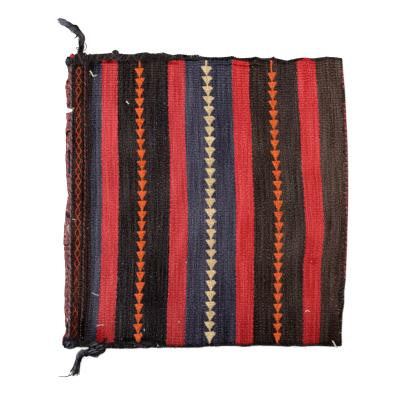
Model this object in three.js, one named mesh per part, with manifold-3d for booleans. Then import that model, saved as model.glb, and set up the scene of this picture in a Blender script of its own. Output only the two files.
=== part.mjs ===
// A flat-woven wool bag that lies empty on its back panel.
// X runs from the mouth to the fold, Y from the left seam to the right seam, Z up from the ground.
// Millimetres. The origin is the middle of the ground that the bag covers.

import * as THREE from 'three';
import { mergeVertices } from 'three/addons/utils/BufferGeometryUtils.js';
import Module from 'manifold-3d';

// The woven strip
const BAG_WIDTH = 412; // over both seam bindings
const BAG_LENGTH = 400; // from the back panel's mouth edge to the fold
const CLOTH_THICKNESS = 3;
const RIB_PITCH = 3.5; // one covered warp
const RIB_HEIGHT = 0.8;
const MOUTH_LIP = 12; // how far the back panel reaches past the front panel

// The pocket between the panels
const POCKET_GAP = 9;
const SEAM_GAP = 0.6; // where the panels are sewn together
const SEAM_FLAT = 12; // the plain selvedge along each seam
const SEAM_TAPER = 45; // over which the pocket closes towards a seam

// The seams and the wool that is wound over them
const CLEARANCE = 0.5; // between the cloth and what is wound over it
const BINDING_THICKNESS = 2.2;
const BINDING_COVER = 7; // how far a binding reaches over the cloth at the mouth
const BINDING_COVER_AT_FOLD = 4;
const WRAP_PITCH = 11;
const WRAP_SLANT = 5; // how far a turn leans along the seam
const WRAP_VALLEY = 0.62; // thickness between two turns, as a share of a turn's
const LASHING_THICKNESS = 3.2;
const LASHING_COVER = 10;
const LASHING_GAP = 0.3; // between a lashing and the binding beside it
const LASHING_OVERHANG = 2; // past the back panel's mouth edge
const RIGHT_LASHING_LENGTH = 30;
const LEFT_LASHING_LENGTH = 15;

// The triangles woven down three of the fields
const MOTIF_RIBS = 4; // ribs from one triangle to the next
const MOTIF_MARGIN_RIBS = 2; // plain ribs before the first triangle
const MOTIF_WIDTH = 13;
const MOTIF_NECK = 2;

// The worn slit in the back panel's mouth edge
const SLIT_FROM_RIGHT_SEAM = 72;
const SLIT_WIDTH = 6;
const SLIT_DEPTH = 10;

// The tassels, each measured from the seam that it hangs on
const TASSEL_DIAMETER = 8.8;
const TASSEL_GAP = 0.3;
const TASSEL_SIDES = 10;
const TASSEL_STEPS = 14;
const RIGHT_TASSEL_FROM_MOUTH = 25;
const LEFT_TASSEL_FROM_MOUTH = 59;
const KNOT_LENGTH = 28;
const KNOT_WIDTH = 13;
const KNOT_HEIGHT = 11;
const KNOT_SHARE = 0.3; // how far along the left route the knot is tied

// Route points as [along X, out from the seam, centre height], from the seam to the frayed end
const RIGHT_TASSEL_ROUTE = [
  [0, 0, 5.9],
  [0.7, 4.5, 5.7],
  [1.6, 9, 5.4],
  [2.5, 13.4, 5.1],
  [3.3, 18, 4.8],
  [3, 22.4, 4.6],
  [1.4, 26.4, 4.6],
  [-1.7, 29.8, 4.6],
  [-5.5, 32.8, 4.6],
  [-9.4, 35.8, 4.6],
  [-13.2, 38.7, 4.6],
  [-17.3, 41.3, 4.6],
  [-21.7, 43.4, 4.6],
  [-26.4, 44.9, 4.6],
  [-31.4, 46.1, 4.6],
];
const LEFT_TASSEL_ROUTE = [
  [0, 0, 5.9],
  [-0.2, 2.8, 5.8],
  [-1.5, 5.4, 5.7],
  [-4.2, 7, 5.6],
  [-8, 7.5, 5.5],
  [-12.1, 7.5, 5.4],
  [-16.2, 7.4, 5.3],
  [-20.2, 7.2, 5.1],
  [-24.2, 7.2, 4.9],
  [-28, 7.8, 4.7],
  [-31.4, 9.6, 4.6],
  [-33.9, 12.5, 4.6],
  [-35.3, 16.2, 4.6],
  [-36.1, 20.2, 4.6],
  [-36.9, 24.2, 4.6],
  [-38.3, 28.1, 4.6],
  [-40.3, 31.8, 4.6],
  [-42.8, 35.3, 4.6],
];

// How far an edge drifts along X, at five stations from the right seam to the left seam
const DRIFT_STATIONS = [0, 0.25, 0.5, 0.75, 1];
const MOUTH_DRIFT = [0.7, 0.7, 0, -0.4, -2.5];
const RED_DRIFTS = [
  [-1.2, -0.7, 0, -1.9, -7],
  [-3.8, -2.4, 0, -2.1, -4.6],
  [-5.8, -3.5, 0, -0.6, -0.8],
  [-11.5, -6, 0, -2, -1.6],
];
const FOLD_DRIFT = [-7.5, -1.4, 0, -3.5, -8.2];
const LIP_DRIFT = [6, 4.5, 6, 3.5, 0.5]; // the back panel's mouth edge

// How far a seam runs in from the bag's width, at five stations from the mouth to the fold
const RIGHT_SEAM_INSET = [0.5, 0, 4, 6, 4.5];
const LEFT_SEAM_INSET = [0, 0.3, 2.2, 2.4, 1.2];

// Wool in its dyed and natural colours
const wool = (color) => new THREE.MeshStandardMaterial({ color, roughness: 0.95, metalness: 0 });
const MADDER = wool(0xc83c3f);
const INDIGO = wool(0x42404f);
const CHARCOAL = wool(0x2e2728);
const UMBER = wool(0x3f2e29);
const ORANGE = wool(0xe0602c);
const CREAM = wool(0xd9bd8c);
const GOAT_HAIR = wool(0x2a2323);

// Bands of weft from the front panel's mouth edge to the fold, with their relative widths
const FIELDS = [
  { width: 24, yarn: UMBER, drift: MOUTH_DRIFT },
  { width: 19.3, yarn: INDIGO, drift: MOUTH_DRIFT },
  { width: 22.5, yarn: MADDER, drift: RED_DRIFTS[0] },
  { width: 71.7, yarn: CHARCOAL, drift: RED_DRIFTS[0], motif: ORANGE },
  { width: 25.5, yarn: MADDER, drift: RED_DRIFTS[1] },
  { width: 68.2, yarn: INDIGO, drift: RED_DRIFTS[1], motif: CREAM },
  { width: 24, yarn: MADDER, drift: RED_DRIFTS[2] },
  { width: 71.5, yarn: UMBER, drift: RED_DRIFTS[2], motif: ORANGE },
  { width: 24.8, yarn: MADDER, drift: RED_DRIFTS[3] },
  { width: 36.5, yarn: UMBER, drift: RED_DRIFTS[3] },
];

const { lerp, smoothstep, degToRad } = THREE.MathUtils;
const FIELD_SCALE = (BAG_LENGTH - MOUTH_LIP) / FIELDS.reduce((sum, field) => sum + field.width, 0);
const FABRIC_WIDTH = BAG_WIDTH - 2 * (BINDING_THICKNESS + CLEARANCE);
const SEAM_LIFT = BINDING_THICKNESS + CLEARANCE; // the binding lies under the cloth's edge
const SEAM_TOP = SEAM_LIFT + 2 * CLOTH_THICKNESS + SEAM_GAP;

// A smooth value through evenly spaced stations
function throughStations(values) {
  const curve = new THREE.CubicInterpolant(DRIFT_STATIONS, values, 1);
  return (share) => curve.evaluate(THREE.MathUtils.clamp(share, 0, 1))[0];
}

const seamInset = {
  right: throughStations(RIGHT_SEAM_INSET),
  left: throughStations(LEFT_SEAM_INSET),
};

// Distance of the cloth's edge from the middle line, on one side, at x
function seamEdge(side, x) {
  return FABRIC_WIDTH / 2 - seamInset[side](x / BAG_LENGTH + 0.5);
}

// A point of the cloth at x, a share of the way from the right seam to the left seam
function clothPoint(x, across, z) {
  return new THREE.Vector3(x, lerp(seamEdge('right', x), -seamEdge('left', x), across), z);
}

// How far the pocket is open across the bag: 0 at a seam, 1 away from it
function openness(across) {
  const fromSeam = Math.min(across, 1 - across) * FABRIC_WIDTH;
  return smoothstep(fromSeam, SEAM_FLAT, SEAM_FLAT + SEAM_TAPER);
}

const pocketGap = (across) => lerp(SEAM_GAP, POCKET_GAP, openness(across));
const panelLift = (across) => lerp(SEAM_LIFT, 0, openness(across));
const foldRadius = (across) => CLOTH_THICKNESS + pocketGap(across) / 2;

// Collects rows of vertices and the triangles between them, sorted by material
class Skin {
  positions = [];
  faces = new Map();

  row(stations, place) {
    const ids = stations.map((station) => {
      const point = place(station);
      this.positions.push(point.x, point.y, point.z);
      return this.positions.length / 3 - 1;
    });
    return { ids, at: stations.map((station) => station.at) };
  }

  // Joins two rows that run side by side, whatever the number of points on each
  zip(a, b, material) {
    const faces = this.faces.get(material) ?? [];
    this.faces.set(material, faces);
    const add = (...corners) => {
      if (new Set(corners).size === 3) faces.push(...corners);
    };
    let i = 0;
    let j = 0;
    while (i < a.ids.length - 1 || j < b.ids.length - 1) {
      const nextA = i < a.ids.length - 1 ? a.at[i + 1] : Infinity;
      const nextB = j < b.ids.length - 1 ? b.at[j + 1] : Infinity;
      if (nextA <= nextB) {
        add(a.ids[i], a.ids[i + 1], b.ids[j]);
        i += 1;
      } else {
        add(a.ids[i], b.ids[j + 1], b.ids[j]);
        j += 1;
      }
    }
  }

  mesh(name) {
    const geometry = new THREE.BufferGeometry();
    geometry.setAttribute('position', new THREE.Float32BufferAttribute(this.positions, 3));
    const index = [];
    const materials = [...this.faces.keys()];
    materials.forEach((material, slot) => {
      const faces = this.faces.get(material);
      geometry.addGroup(index.length, faces.length, slot);
      index.push(...faces);
    });
    geometry.setIndex(index);
    geometry.computeVertexNormals();
    const mesh = new THREE.Mesh(geometry, materials.length > 1 ? materials : materials[0]);
    mesh.name = name;
    return mesh;
  }
}

// Stations across the ribbed face: flat selvedges, and a valley and a crest for each rib
function ribStations() {
  const ribbed = FABRIC_WIDTH - 2 * SEAM_FLAT;
  const halfRibs = 2 * Math.round(ribbed / RIB_PITCH);
  const stations = [{ at: 0, rise: 0, halfRib: 0 }];
  for (let k = 0; k <= halfRibs; k += 1) {
    const at = (SEAM_FLAT + (ribbed * k) / halfRibs) / FABRIC_WIDTH;
    stations.push({ at, rise: (k % 2) * RIB_HEIGHT, halfRib: k });
  }
  stations.push({ at: 1, rise: 0, halfRib: halfRibs });
  return stations;
}

// Stations across the plain faces, close together where the pocket tapers
function plainStations() {
  const taperSteps = [0, 0.25, 0.5, 0.75, 1];
  const fromSeam = [0, ...taperSteps.map((share) => SEAM_FLAT + share * SEAM_TAPER)];
  const near = fromSeam.map((distance) => distance / FABRIC_WIDTH);
  const middle = [0.3, 0.4, 0.5, 0.6, 0.7];
  const far = near.map((at) => 1 - at).reverse();
  return [...near, ...middle, ...far].map((at) => ({ at, slit: 0 }));
}

// The plain stations with the slit's corners among them
function lipStations() {
  const middle = SLIT_FROM_RIGHT_SEAM / FABRIC_WIDTH;
  const half = SLIT_WIDTH / 2 / FABRIC_WIDTH;
  const corners = [
    { at: middle - half, slit: 0 },
    { at: middle - half / 2, slit: SLIT_DEPTH },
    { at: middle + half / 2, slit: SLIT_DEPTH },
    { at: middle + half, slit: 0 },
  ];
  return [...plainStations(), ...corners].sort((a, b) => a.at - b.at);
}

// Half the width of a woven chain of triangles that point towards the left seam
function motifHalfWidth(halfRib, halfRibs) {
  const start = 2 * MOTIF_MARGIN_RIBS;
  const step = 2 * MOTIF_RIBS;
  const triangles = Math.floor((halfRibs - start) / step);
  const inChain = halfRib >= start && halfRib < start + triangles * step;
  const share = inChain ? ((halfRib - start) % step) / step : 1;
  return lerp(MOTIF_WIDTH, MOTIF_NECK, share) / 2;
}

// Lines across the front panel where the yarn changes, from the mouth to the fold.
// Each gives x at a station, and the yarn of the cloth that follows it.
function yarnLines(halfRibs) {
  const front = -BAG_LENGTH / 2 + MOUTH_LIP;
  const lines = [];
  let start = front;
  FIELDS.forEach((field, k) => {
    const drift = throughStations(field.drift);
    const nextDrift = throughStations(FIELDS[k + 1]?.drift ?? FOLD_DRIFT);
    const width = field.width * FIELD_SCALE;
    const left = start;
    const middle = start + width / 2;
    const middleAt = (at) => middle + (drift(at) + nextDrift(at)) / 2;
    lines.push({ x: ({ at }) => left + drift(at), yarn: field.yarn, edge: true });
    if (field.motif) {
      const half = (station) => motifHalfWidth(station.halfRib, halfRibs);
      lines.push({ x: (station) => middleAt(station.at) - half(station), yarn: field.motif });
      lines.push({ x: (station) => middleAt(station.at) + half(station), yarn: field.yarn });
    }
    start += width;
  });
  return lines;
}

// One strip of cloth, folded at +X, with its mouth at -X
function wovenBody() {
  const skin = new Skin();
  const ribs = ribStations();
  const plain = plainStations();
  const lines = yarnLines(ribs.at(-1).halfRib);
  const edges = lines.filter((line) => line.edge);
  const foldDrift = throughStations(FOLD_DRIFT);
  const lipDrift = throughStations(LIP_DRIFT);
  const foldX = (at) => BAG_LENGTH / 2 + foldDrift(at);
  const foldStart = ({ at }) => foldX(at) - foldRadius(at);
  const lipX = ({ at, slit }) => -BAG_LENGTH / 2 + lipDrift(at) + slit;
  const lastYarn = FIELDS.at(-1).yarn;

  const underside = (at) => panelLift(at);
  const pocketFloor = (at) => panelLift(at) + CLOTH_THICKNESS;
  const pocketRoof = (at) => pocketFloor(at) + pocketGap(at);
  const face = (at) => pocketRoof(at) + CLOTH_THICKNESS;

  const sheetRow = (stations, x, height) =>
    skin.row(stations, (station) =>
      clothPoint(x(station), station.at, height(station.at) + (station.rise ?? 0)),
    );
  const foldRow = (stations, degrees, inset) =>
    skin.row(stations, (station) => {
      const { at, rise = 0 } = station;
      const radius = foldRadius(at) - inset + rise;
      const angle = degToRad(degrees);
      const middle = underside(at) + foldRadius(at);
      const x = foldStart(station) + radius * Math.cos(angle);
      return clothPoint(x, at, middle + radius * Math.sin(angle));
    });

  // Rows of the outside and of the inside, each from the front panel's mouth round to the back's.
  // along says how far round a row lies: 0 to 1 is the front, 1 to 2 the fold, 2 to 3 the back.
  const outside = [];
  const inside = [];
  lines.forEach((line, k) => {
    const along = k / lines.length;
    outside.push({ row: sheetRow(ribs, line.x, face), yarn: line.yarn, along });
  });
  edges.forEach((line, k) => {
    const along = k / edges.length;
    inside.push({ row: sheetRow(plain, line.x, pocketRoof), yarn: line.yarn, along });
  });
  [90, 50, 15, -25, -60, -90].forEach((degrees) => {
    const stations = degrees > 0 ? ribs : plain;
    const along = 1 + (90 - degrees) / 180;
    outside.push({ row: foldRow(stations, degrees, 0), yarn: lastYarn, along });
  });
  [90, 30, -30, -90].forEach((degrees) => {
    const along = 1 + (90 - degrees) / 180;
    inside.push({ row: foldRow(plain, degrees, CLOTH_THICKNESS), yarn: lastYarn, along });
  });
  edges.toReversed().forEach((line, k) => {
    const along = 2 + (k + 1) / (edges.length + 1);
    const yarn = edges[Math.max(edges.length - 2 - k, 0)].yarn;
    outside.push({ row: sheetRow(plain, line.x, underside), yarn, along });
    inside.push({ row: sheetRow(plain, line.x, pocketFloor), yarn, along });
  });
  const lip = lipStations();
  outside.push({ row: sheetRow(lip, lipX, underside), yarn: MADDER, along: 3 });
  inside.push({ row: sheetRow(lip, lipX, pocketFloor), yarn: MADDER, along: 3 });

  for (let k = 1; k < outside.length; k += 1) {
    skin.zip(outside[k - 1].row, outside[k].row, outside[k - 1].yarn);
  }
  for (let k = 1; k < inside.length; k += 1) {
    skin.zip(inside[k].row, inside[k - 1].row, inside[k - 1].yarn);
  }

  // The two mouth edges, and the two selvedges
  skin.zip(inside[0].row, outside[0].row, UMBER);
  skin.zip(outside.at(-1).row, inside.at(-1).row, MADDER);
  const selvedge = (rows, end) => ({
    ids: rows.map(({ row }) => row.ids.at(end)),
    at: rows.map(({ along }) => along),
  });
  skin.zip(selvedge(outside, 0), selvedge(inside, 0), UMBER);
  skin.zip(selvedge(inside, -1), selvedge(outside, -1), UMBER);
  return skin.mesh('woven_body');
}

// The section of wool wound over a seam, as [out from the cloth's edge, height, share of a turn].
// It goes from the lip on the front panel, over the edge, to the lip on the back panel.
function bindingSection(cover, top, bottom) {
  const over = SEAM_TOP + CLEARANCE;
  const under = SEAM_LIFT - CLEARANCE;
  return [
    [-cover, over, 0],
    [-cover + 0.8, over + 0.6 * top, 0.05],
    [-cover / 2, over + top, 0.2],
    [CLEARANCE + 0.3 * top, over + 0.85 * top, 0.38],
    [CLEARANCE + top, SEAM_TOP, 0.45],
    [CLEARANCE + top, SEAM_LIFT, 0.55],
    [CLEARANCE + 0.3 * top, under - 0.85 * bottom, 0.62],
    [-cover / 2, under - bottom, 0.8],
    [-cover + 0.8, under - 0.6 * bottom, 0.95],
    [-cover, under, 1],
    [CLEARANCE, under, 1],
    [CLEARANCE, over, 0],
  ];
}

// Turns of wool along a stretch of a seam
function woundSeam({ name, side, from, to, cover, coverAtEnd, thickness }) {
  const skin = new Skin();
  const turns = Math.max(1, Math.round((to - from) / WRAP_PITCH));
  const sign = side === 'right' ? 1 : -1;
  const rings = [];
  for (let k = 0; k <= 2 * turns; k += 1) {
    const along = k / (2 * turns);
    const swell = k % 2 ? 1 : WRAP_VALLEY;
    const slant = WRAP_SLANT * Math.min(1, 4 * along, 4 * (1 - along)); // both ends are square
    const section = bindingSection(
      lerp(cover, coverAtEnd, along),
      thickness * swell,
      BINDING_THICKNESS * swell,
    );
    const stations = section.map(([out, height, turn], at) => ({ out, height, turn, at }));
    rings.push(
      skin.row(stations, ({ out, height, turn }) => {
        const x = lerp(from, to, along) + turn * slant;
        return new THREE.Vector3(x, sign * (seamEdge(side, x) + out), height);
      }),
    );
  }
  const join = (a, b) => (sign > 0 ? skin.zip(a, b, GOAT_HAIR) : skin.zip(b, a, GOAT_HAIR));
  const closed = ({ ids, at }) => ({ ids: [...ids, ids[0]], at: [...at, at.length] });
  for (let k = 1; k < rings.length; k += 1) {
    join(closed(rings[k]), closed(rings[k - 1]));
  }

  // Each end is filled between the outer path and the inner one
  const outer = ({ ids }) => ({ ids: ids.slice(0, 10), at: [0, 1, 2, 3, 4, 5, 6, 7, 8, 9] });
  const inner = ({ ids }) => ({ ids: [ids[0], ids[11], ids[10], ids[9]], at: [0, 4, 5, 9] });
  join(inner(rings.at(-1)), outer(rings.at(-1)));
  join(outer(rings[0]), inner(rings[0]));
  return skin.mesh(name);
}

// The wool over one seam: a thick lashing at the mouth corner, then the binding up to the fold
function seamWool(side, lashingLength) {
  const atSeam = side === 'right' ? 0 : 1;
  const corner = -BAG_LENGTH / 2 + throughStations(LIP_DRIFT)(atSeam) - LASHING_OVERHANG;
  const lashingEnd = corner + lashingLength;
  const fold = BAG_LENGTH / 2 + throughStations(FOLD_DRIFT)(atSeam);
  const lashing = woundSeam({
    name: `${side}_corner_lashing`,
    side,
    from: corner,
    to: lashingEnd,
    cover: LASHING_COVER,
    coverAtEnd: LASHING_COVER,
    thickness: LASHING_THICKNESS,
  });
  const binding = woundSeam({
    name: `${side}_seam_binding`,
    side,
    from: lashingEnd + LASHING_GAP,
    to: fold - foldRadius(atSeam),
    cover: BINDING_COVER,
    coverAtEnd: BINDING_COVER_AT_FOLD,
    thickness: BINDING_THICKNESS,
  });
  return [lashing, binding];
}

// A round bundle of yarn along a route that starts at a seam
function tasselTube(side, fromMouth, seamThickness, route) {
  const sign = side === 'right' ? 1 : -1;
  const startX = -BAG_LENGTH / 2 + fromMouth;
  const startY = seamEdge(side, startX) + CLEARANCE + seamThickness + TASSEL_GAP;
  const points = route.map(([x, out, z]) => new THREE.Vector3(startX + x, sign * (startY + out), z));
  const section = new THREE.Shape().absarc(0, 0, TASSEL_DIAMETER / 2, 0, 2 * Math.PI);
  const tube = new THREE.ExtrudeGeometry(section, {
    steps: TASSEL_STEPS,
    curveSegments: TASSEL_SIDES / 2, // for each half of the circle
    bevelEnabled: false,
    extrudePath: new THREE.CatmullRomCurve3(points),
  });
  return { tube, points };
}

// The knot tied in the left tassel
function tasselKnot(middle) {
  const knot = new THREE.SphereGeometry(0.5, 14, 10);
  knot.scale(KNOT_LENGTH, KNOT_WIDTH, KNOT_HEIGHT);
  knot.translate(middle.x, middle.y, Math.max(middle.z, KNOT_HEIGHT / 2));
  return knot;
}

const wasm = await Module();
wasm.setup();

function toSolid(geometry) {
  const bare = geometry.clone();
  bare.deleteAttribute('normal');
  bare.deleteAttribute('uv');
  const merged = mergeVertices(bare, 1e-4);
  const mesh = new wasm.Mesh({
    numProp: 3,
    vertProperties: merged.attributes.position.array,
    triVerts: new Uint32Array(merged.index.array),
  });
  return new wasm.Manifold(mesh);
}

function joined(first, second) {
  const { vertProperties, triVerts } = toSolid(first).add(toSolid(second)).getMesh();
  const geometry = new THREE.BufferGeometry();
  geometry.setAttribute('position', new THREE.BufferAttribute(vertProperties, 3));
  geometry.setIndex(new THREE.BufferAttribute(triVerts, 1));
  geometry.computeVertexNormals();
  return geometry;
}

function tassel(name, geometry) {
  const mesh = new THREE.Mesh(geometry, GOAT_HAIR);
  mesh.name = name;
  return mesh;
}

const right = tasselTube('right', RIGHT_TASSEL_FROM_MOUTH, LASHING_THICKNESS, RIGHT_TASSEL_ROUTE);
const left = tasselTube('left', LEFT_TASSEL_FROM_MOUTH, BINDING_THICKNESS, LEFT_TASSEL_ROUTE);
const knotIndex = Math.round(KNOT_SHARE * (LEFT_TASSEL_ROUTE.length - 1));
const knotted = joined(left.tube, tasselKnot(left.points[knotIndex]));

const bag = new THREE.Group();
bag.name = 'bag';
bag.add(wovenBody());
bag.add(...seamWool('right', RIGHT_LASHING_LENGTH), ...seamWool('left', LEFT_LASHING_LENGTH));
bag.add(tassel('right_tassel', right.tube), tassel('left_tassel', knotted));

export default bag;
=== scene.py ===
"""A worn flat-woven wool bag that lies empty on its back panel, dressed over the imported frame.

Lengths are millimetres until a mesh is made. X runs from the mouth to the fold, Y towards
the right seam, Z up. "Across" is 0 at the right seam and 1 at the left seam, and u is the
distance along the front panel from its mouth edge. Pixels are those of the photograph, whose x
and y run right and down.
"""
import math

import bpy
import numpy as np
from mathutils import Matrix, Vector


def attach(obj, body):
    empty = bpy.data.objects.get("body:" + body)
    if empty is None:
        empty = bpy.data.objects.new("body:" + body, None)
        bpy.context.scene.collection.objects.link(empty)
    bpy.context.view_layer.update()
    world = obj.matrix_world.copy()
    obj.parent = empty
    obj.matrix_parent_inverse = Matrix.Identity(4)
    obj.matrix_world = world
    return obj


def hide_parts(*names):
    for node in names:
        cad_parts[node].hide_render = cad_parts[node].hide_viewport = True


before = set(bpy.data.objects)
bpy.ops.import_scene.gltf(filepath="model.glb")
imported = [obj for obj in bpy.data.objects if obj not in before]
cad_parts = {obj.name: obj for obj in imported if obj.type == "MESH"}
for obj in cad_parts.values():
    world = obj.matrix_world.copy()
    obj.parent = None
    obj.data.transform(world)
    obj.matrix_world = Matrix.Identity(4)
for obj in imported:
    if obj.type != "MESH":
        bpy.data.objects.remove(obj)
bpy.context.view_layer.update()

MM = 0.001
TAU = 2 * math.pi

# Sizes that the CAD source gives
BAG_LENGTH = 400.0
FABRIC_WIDTH = 406.6
MOUTH_LIP = 12.0
CLOTH_THICKNESS = 3.0
RIB_HEIGHT = 0.8
POCKET_GAP = 9.0
SEAM_GAP = 0.6
CLEARANCE = 0.5
TASSEL_GAP = 0.3
SEAM_FLAT = 12.0
SEAM_TAPER = 45.0
SEAM_LIFT = 2.7
SEAM_TOP = SEAM_LIFT + 2 * CLOTH_THICKNESS + SEAM_GAP
FRONT_MOUTH = -BAG_LENGTH / 2 + MOUTH_LIP
PANEL_LENGTH = BAG_LENGTH - MOUTH_LIP
FIELD_WIDTHS = (24, 19.3, 22.5, 71.7, 25.5, 68.2, 24, 71.5, 24.8, 36.5)
FIELD_EDGES = np.concatenate([[0], np.cumsum(FIELD_WIDTHS)])

# Drifts along X at five even stations from the right seam to the left seam
MOUTH_DRIFT = (0.7, 0.7, 0, -0.4, -2.5)
RED_DRIFTS = (
    (-1.2, -0.7, 0, -1.9, -7),
    (-3.8, -2.4, 0, -2.1, -4.6),
    (-5.8, -3.5, 0, -0.6, -0.8),
    (-11.5, -6, 0, -2, -1.6),
)
FOLD_DRIFT = (-7.5, -1.4, 0, -3.5, -8.2)
EDGE_DRIFTS = (MOUTH_DRIFT, MOUTH_DRIFT) + tuple(d for d in RED_DRIFTS for _ in (0, 1)) + (FOLD_DRIFT,)

# How far each seam runs in from the bag's width, from the mouth to the fold
SEAM_INSETS = {"right": (0.5, 0, 4, 6, 4.5), "left": (0, 0.3, 2.2, 2.4, 1.2)}
SIGN = {"right": 1.0, "left": -1.0}

# The photograph's frame
PHOTO_PIXELS = 416
MM_PER_PIXEL = 1.4
PIXEL_AT_ORIGIN = (205.0, 200.75)

# The weave
RIBS = 116
SAMPLES_PER_RIB = 4


def photo_mm(px, py):
    """The place on the bag's plane that a pixel of the photograph shows."""
    return (px - PIXEL_AT_ORIGIN[0]) * MM_PER_PIXEL, (PIXEL_AT_ORIGIN[1] - py) * MM_PER_PIXEL


def photo_points(pixels):
    """Places from pixels (x, y) with heights in millimetres."""
    return [(*photo_mm(px, py), height) for px, py, height in pixels]


def pixel_x(x):
    return PIXEL_AT_ORIGIN[0] + np.asarray(x, float) / MM_PER_PIXEL


def pixel_y(y):
    return PIXEL_AT_ORIGIN[1] - np.asarray(y, float) / MM_PER_PIXEL


def between(pairs, place):
    """The value at a place, from pairs of (place, value)."""
    places, values = zip(*pairs)
    return np.interp(place, places, values)


def linear(red, green, blue):
    """Scene-linear colour from 8-bit sRGB."""
    def channel(value):
        value /= 255
        return value / 12.92 if value <= 0.04045 else ((value + 0.055) / 1.055) ** 2.4
    return channel(red), channel(green), channel(blue), 1.0


def smoothstep(value, low, high):
    share = np.clip((np.asarray(value, float) - low) / (high - low), 0, 1)
    return share * share * (3 - 2 * share)


def lerp(a, b, share):
    return a + (b - a) * share


def padded(values):
    """Values with one more at each end, for a cubic that runs through all of them."""
    return np.concatenate([2 * values[:1] - values[1:2], values, 2 * values[-1:] - values[-2:-1]])


def catmull_rom(a, b, c, d, share):
    """The curve between b and c, at a share of the way."""
    straight, bent, turned = c - a, 2 * a - 5 * b + 4 * c - d, 3 * b - a - 3 * c + d
    return b + 0.5 * (straight * share + bent * share ** 2 + turned * share ** 3)


def stations(values, share):
    """A smooth value through even stations, by the same cubic as the CAD source."""
    values = padded(np.asarray(values, float))
    place = np.clip(np.asarray(share, float), 0, 1) * (len(values) - 3)
    i = np.minimum(place.astype(int), len(values) - 4)
    return catmull_rom(*(values[i + k] for k in range(4)), place - i)


def lengths_along(path):
    """How far along a path each of its points lies."""
    return np.concatenate([[0], np.cumsum(np.linalg.norm(np.diff(path, axis=0), axis=1))])


def unit(vectors):
    return vectors / np.maximum(np.linalg.norm(vectors, axis=1, keepdims=True), 1e-9)


def sides_of(path, up=(0, 0, 1)):
    """The directions across and above a path, at each of its points."""
    tangent = unit(np.gradient(path, axis=0))
    across = unit(np.cross(tangent, up))
    return across, np.cross(across, tangent)


def off_ground(path, radius, clearance=0.05):
    """A yarn's path, raised where the yarn would sink into the ground."""
    path[:, 2] = np.maximum(path[:, 2], radius + clearance)
    return path


def ring_faces(rings, sides):
    """Quads between rings of vertices that follow one another."""
    for k in range(rings - 1):
        for j in range(sides):
            a, b = k * sides + j, k * sides + (j + 1) % sides
            yield a, b, b + sides, a + sides


def smooth_path(points, count):
    """A smooth curve through points, with count even steps along its length."""
    ends = padded(np.asarray(points, float))
    share = np.linspace(0, 1, 12, endpoint=False)[:, None]
    fine = [catmull_rom(*ends[k:k + 4], share) for k in range(len(ends) - 3)]
    fine = np.vstack([*fine, ends[-2:-1]])
    length = lengths_along(fine)
    even = np.linspace(0, length[-1], count)
    return np.stack([np.interp(even, length, fine[:, axis]) for axis in range(3)], axis=1)


def waves(x, y, seed, shortest, longest, count=14):
    """Smooth uneven ground of about unit height, from plane waves in random directions."""
    rng = np.random.default_rng(seed)
    total = np.zeros(np.broadcast(x, y).shape)
    for _ in range(count):
        length, angle, phase = rng.uniform(shortest, longest), rng.uniform(0, TAU), rng.uniform(0, TAU)
        total += np.sin(TAU / length * (np.cos(angle) * x + np.sin(angle) * y) + phase)
    return total * math.sqrt(2 / count)


def ragged(place, seed, step):
    """Uneven values of about unit size along a line, smooth over step."""
    rng = np.random.default_rng(seed)
    knots = np.arange(-300, 301, step)
    values = rng.normal(size=len(knots))
    share = (np.asarray(place, float) + 300) / step
    i = np.clip(share.astype(int), 0, len(knots) - 2)
    return lerp(values[i], values[i + 1], smoothstep(share - i, 0, 1))


# The cloth's surfaces

def seam_edge(side, x):
    return FABRIC_WIDTH / 2 - stations(SEAM_INSETS[side], np.asarray(x) / BAG_LENGTH + 0.5)


def cloth_y(x, across):
    return lerp(seam_edge("right", x), -seam_edge("left", x), across)


def across_at(x, y):
    right, left = seam_edge("right", x), seam_edge("left", x)
    return (right - y) / (right + left)


def openness(across):
    """0 at the seams, where the panels meet, and 1 where the pocket has its full gap."""
    from_seam = np.minimum(across, 1 - np.asarray(across)) * FABRIC_WIDTH
    return smoothstep(from_seam, SEAM_FLAT, SEAM_FLAT + SEAM_TAPER)


def pocket_gap(across):
    return lerp(SEAM_GAP, POCKET_GAP, openness(across))


def panel_lift(across):
    return lerp(SEAM_LIFT, 0.0, openness(across))


def fold_radius(across):
    return CLOTH_THICKNESS + pocket_gap(across) / 2


# The seams' outlines as pixels (x, y) of the photograph
SEAM_OUTLINES = {
    "right": (
        (60, 57), (66, 55.5), (70, 54.5), (78, 54), (90, 54), (106, 53.2), (111, 52.5), (120, 53.5),
        (133, 53.8), (138, 52.4), (148, 52.4), (155, 52.9), (163, 51.7), (168, 53.3), (173, 54.3),
        (178, 53.7), (183, 54.4), (196, 54.6), (208, 56.9), (214, 56.9), (222, 56.7), (227, 57.3),
        (232, 55.2), (237, 57.1), (247, 58.3), (256, 56.3), (261, 57.9), (268, 58.2), (274, 56.6),
        (278, 61.2), (284, 60.9), (290, 59.5), (298, 57.8), (306, 57), (313, 58.2), (320, 57.8),
        (326, 55.8), (334, 56.2), (343, 57.2),
    ),
    "left": (
        (61, 344.5), (62.5, 347), (65, 348.8), (69, 349.6), (73, 348.6), (76, 347), (82, 347), (88, 348.2),
        (124, 348.8), (132, 349), (142, 348.3), (150, 348.4), (162, 348.5), (172, 347.9), (198, 347.9),
        (208, 346.6), (217, 346.9), (230, 345.6), (244, 347.1), (252, 346.4), (260, 346), (276, 346.2),
        (289, 347), (294, 345.9), (302, 347.3), (312, 345.9), (334, 347), (343, 346.4),
    ),
}
BARE_EDGES = {"right": (195, 207), "left": (150, 172)}  # pixels over which the wool gives way to the cloth
EDGE_YARN = 0.5  # how far a bare edge's few turns of yarn stand out
SEAM_GAPS = {"right": ((302.5, 309.5), (321, 345)), "left": ()}  # pixels between which no yarn shows


def outline_y(side, x):
    """How far from the middle line the photograph's outline lies."""
    return SIGN[side] * photo_mm(0, between(SEAM_OUTLINES[side], pixel_x(x)))[1]


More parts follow.
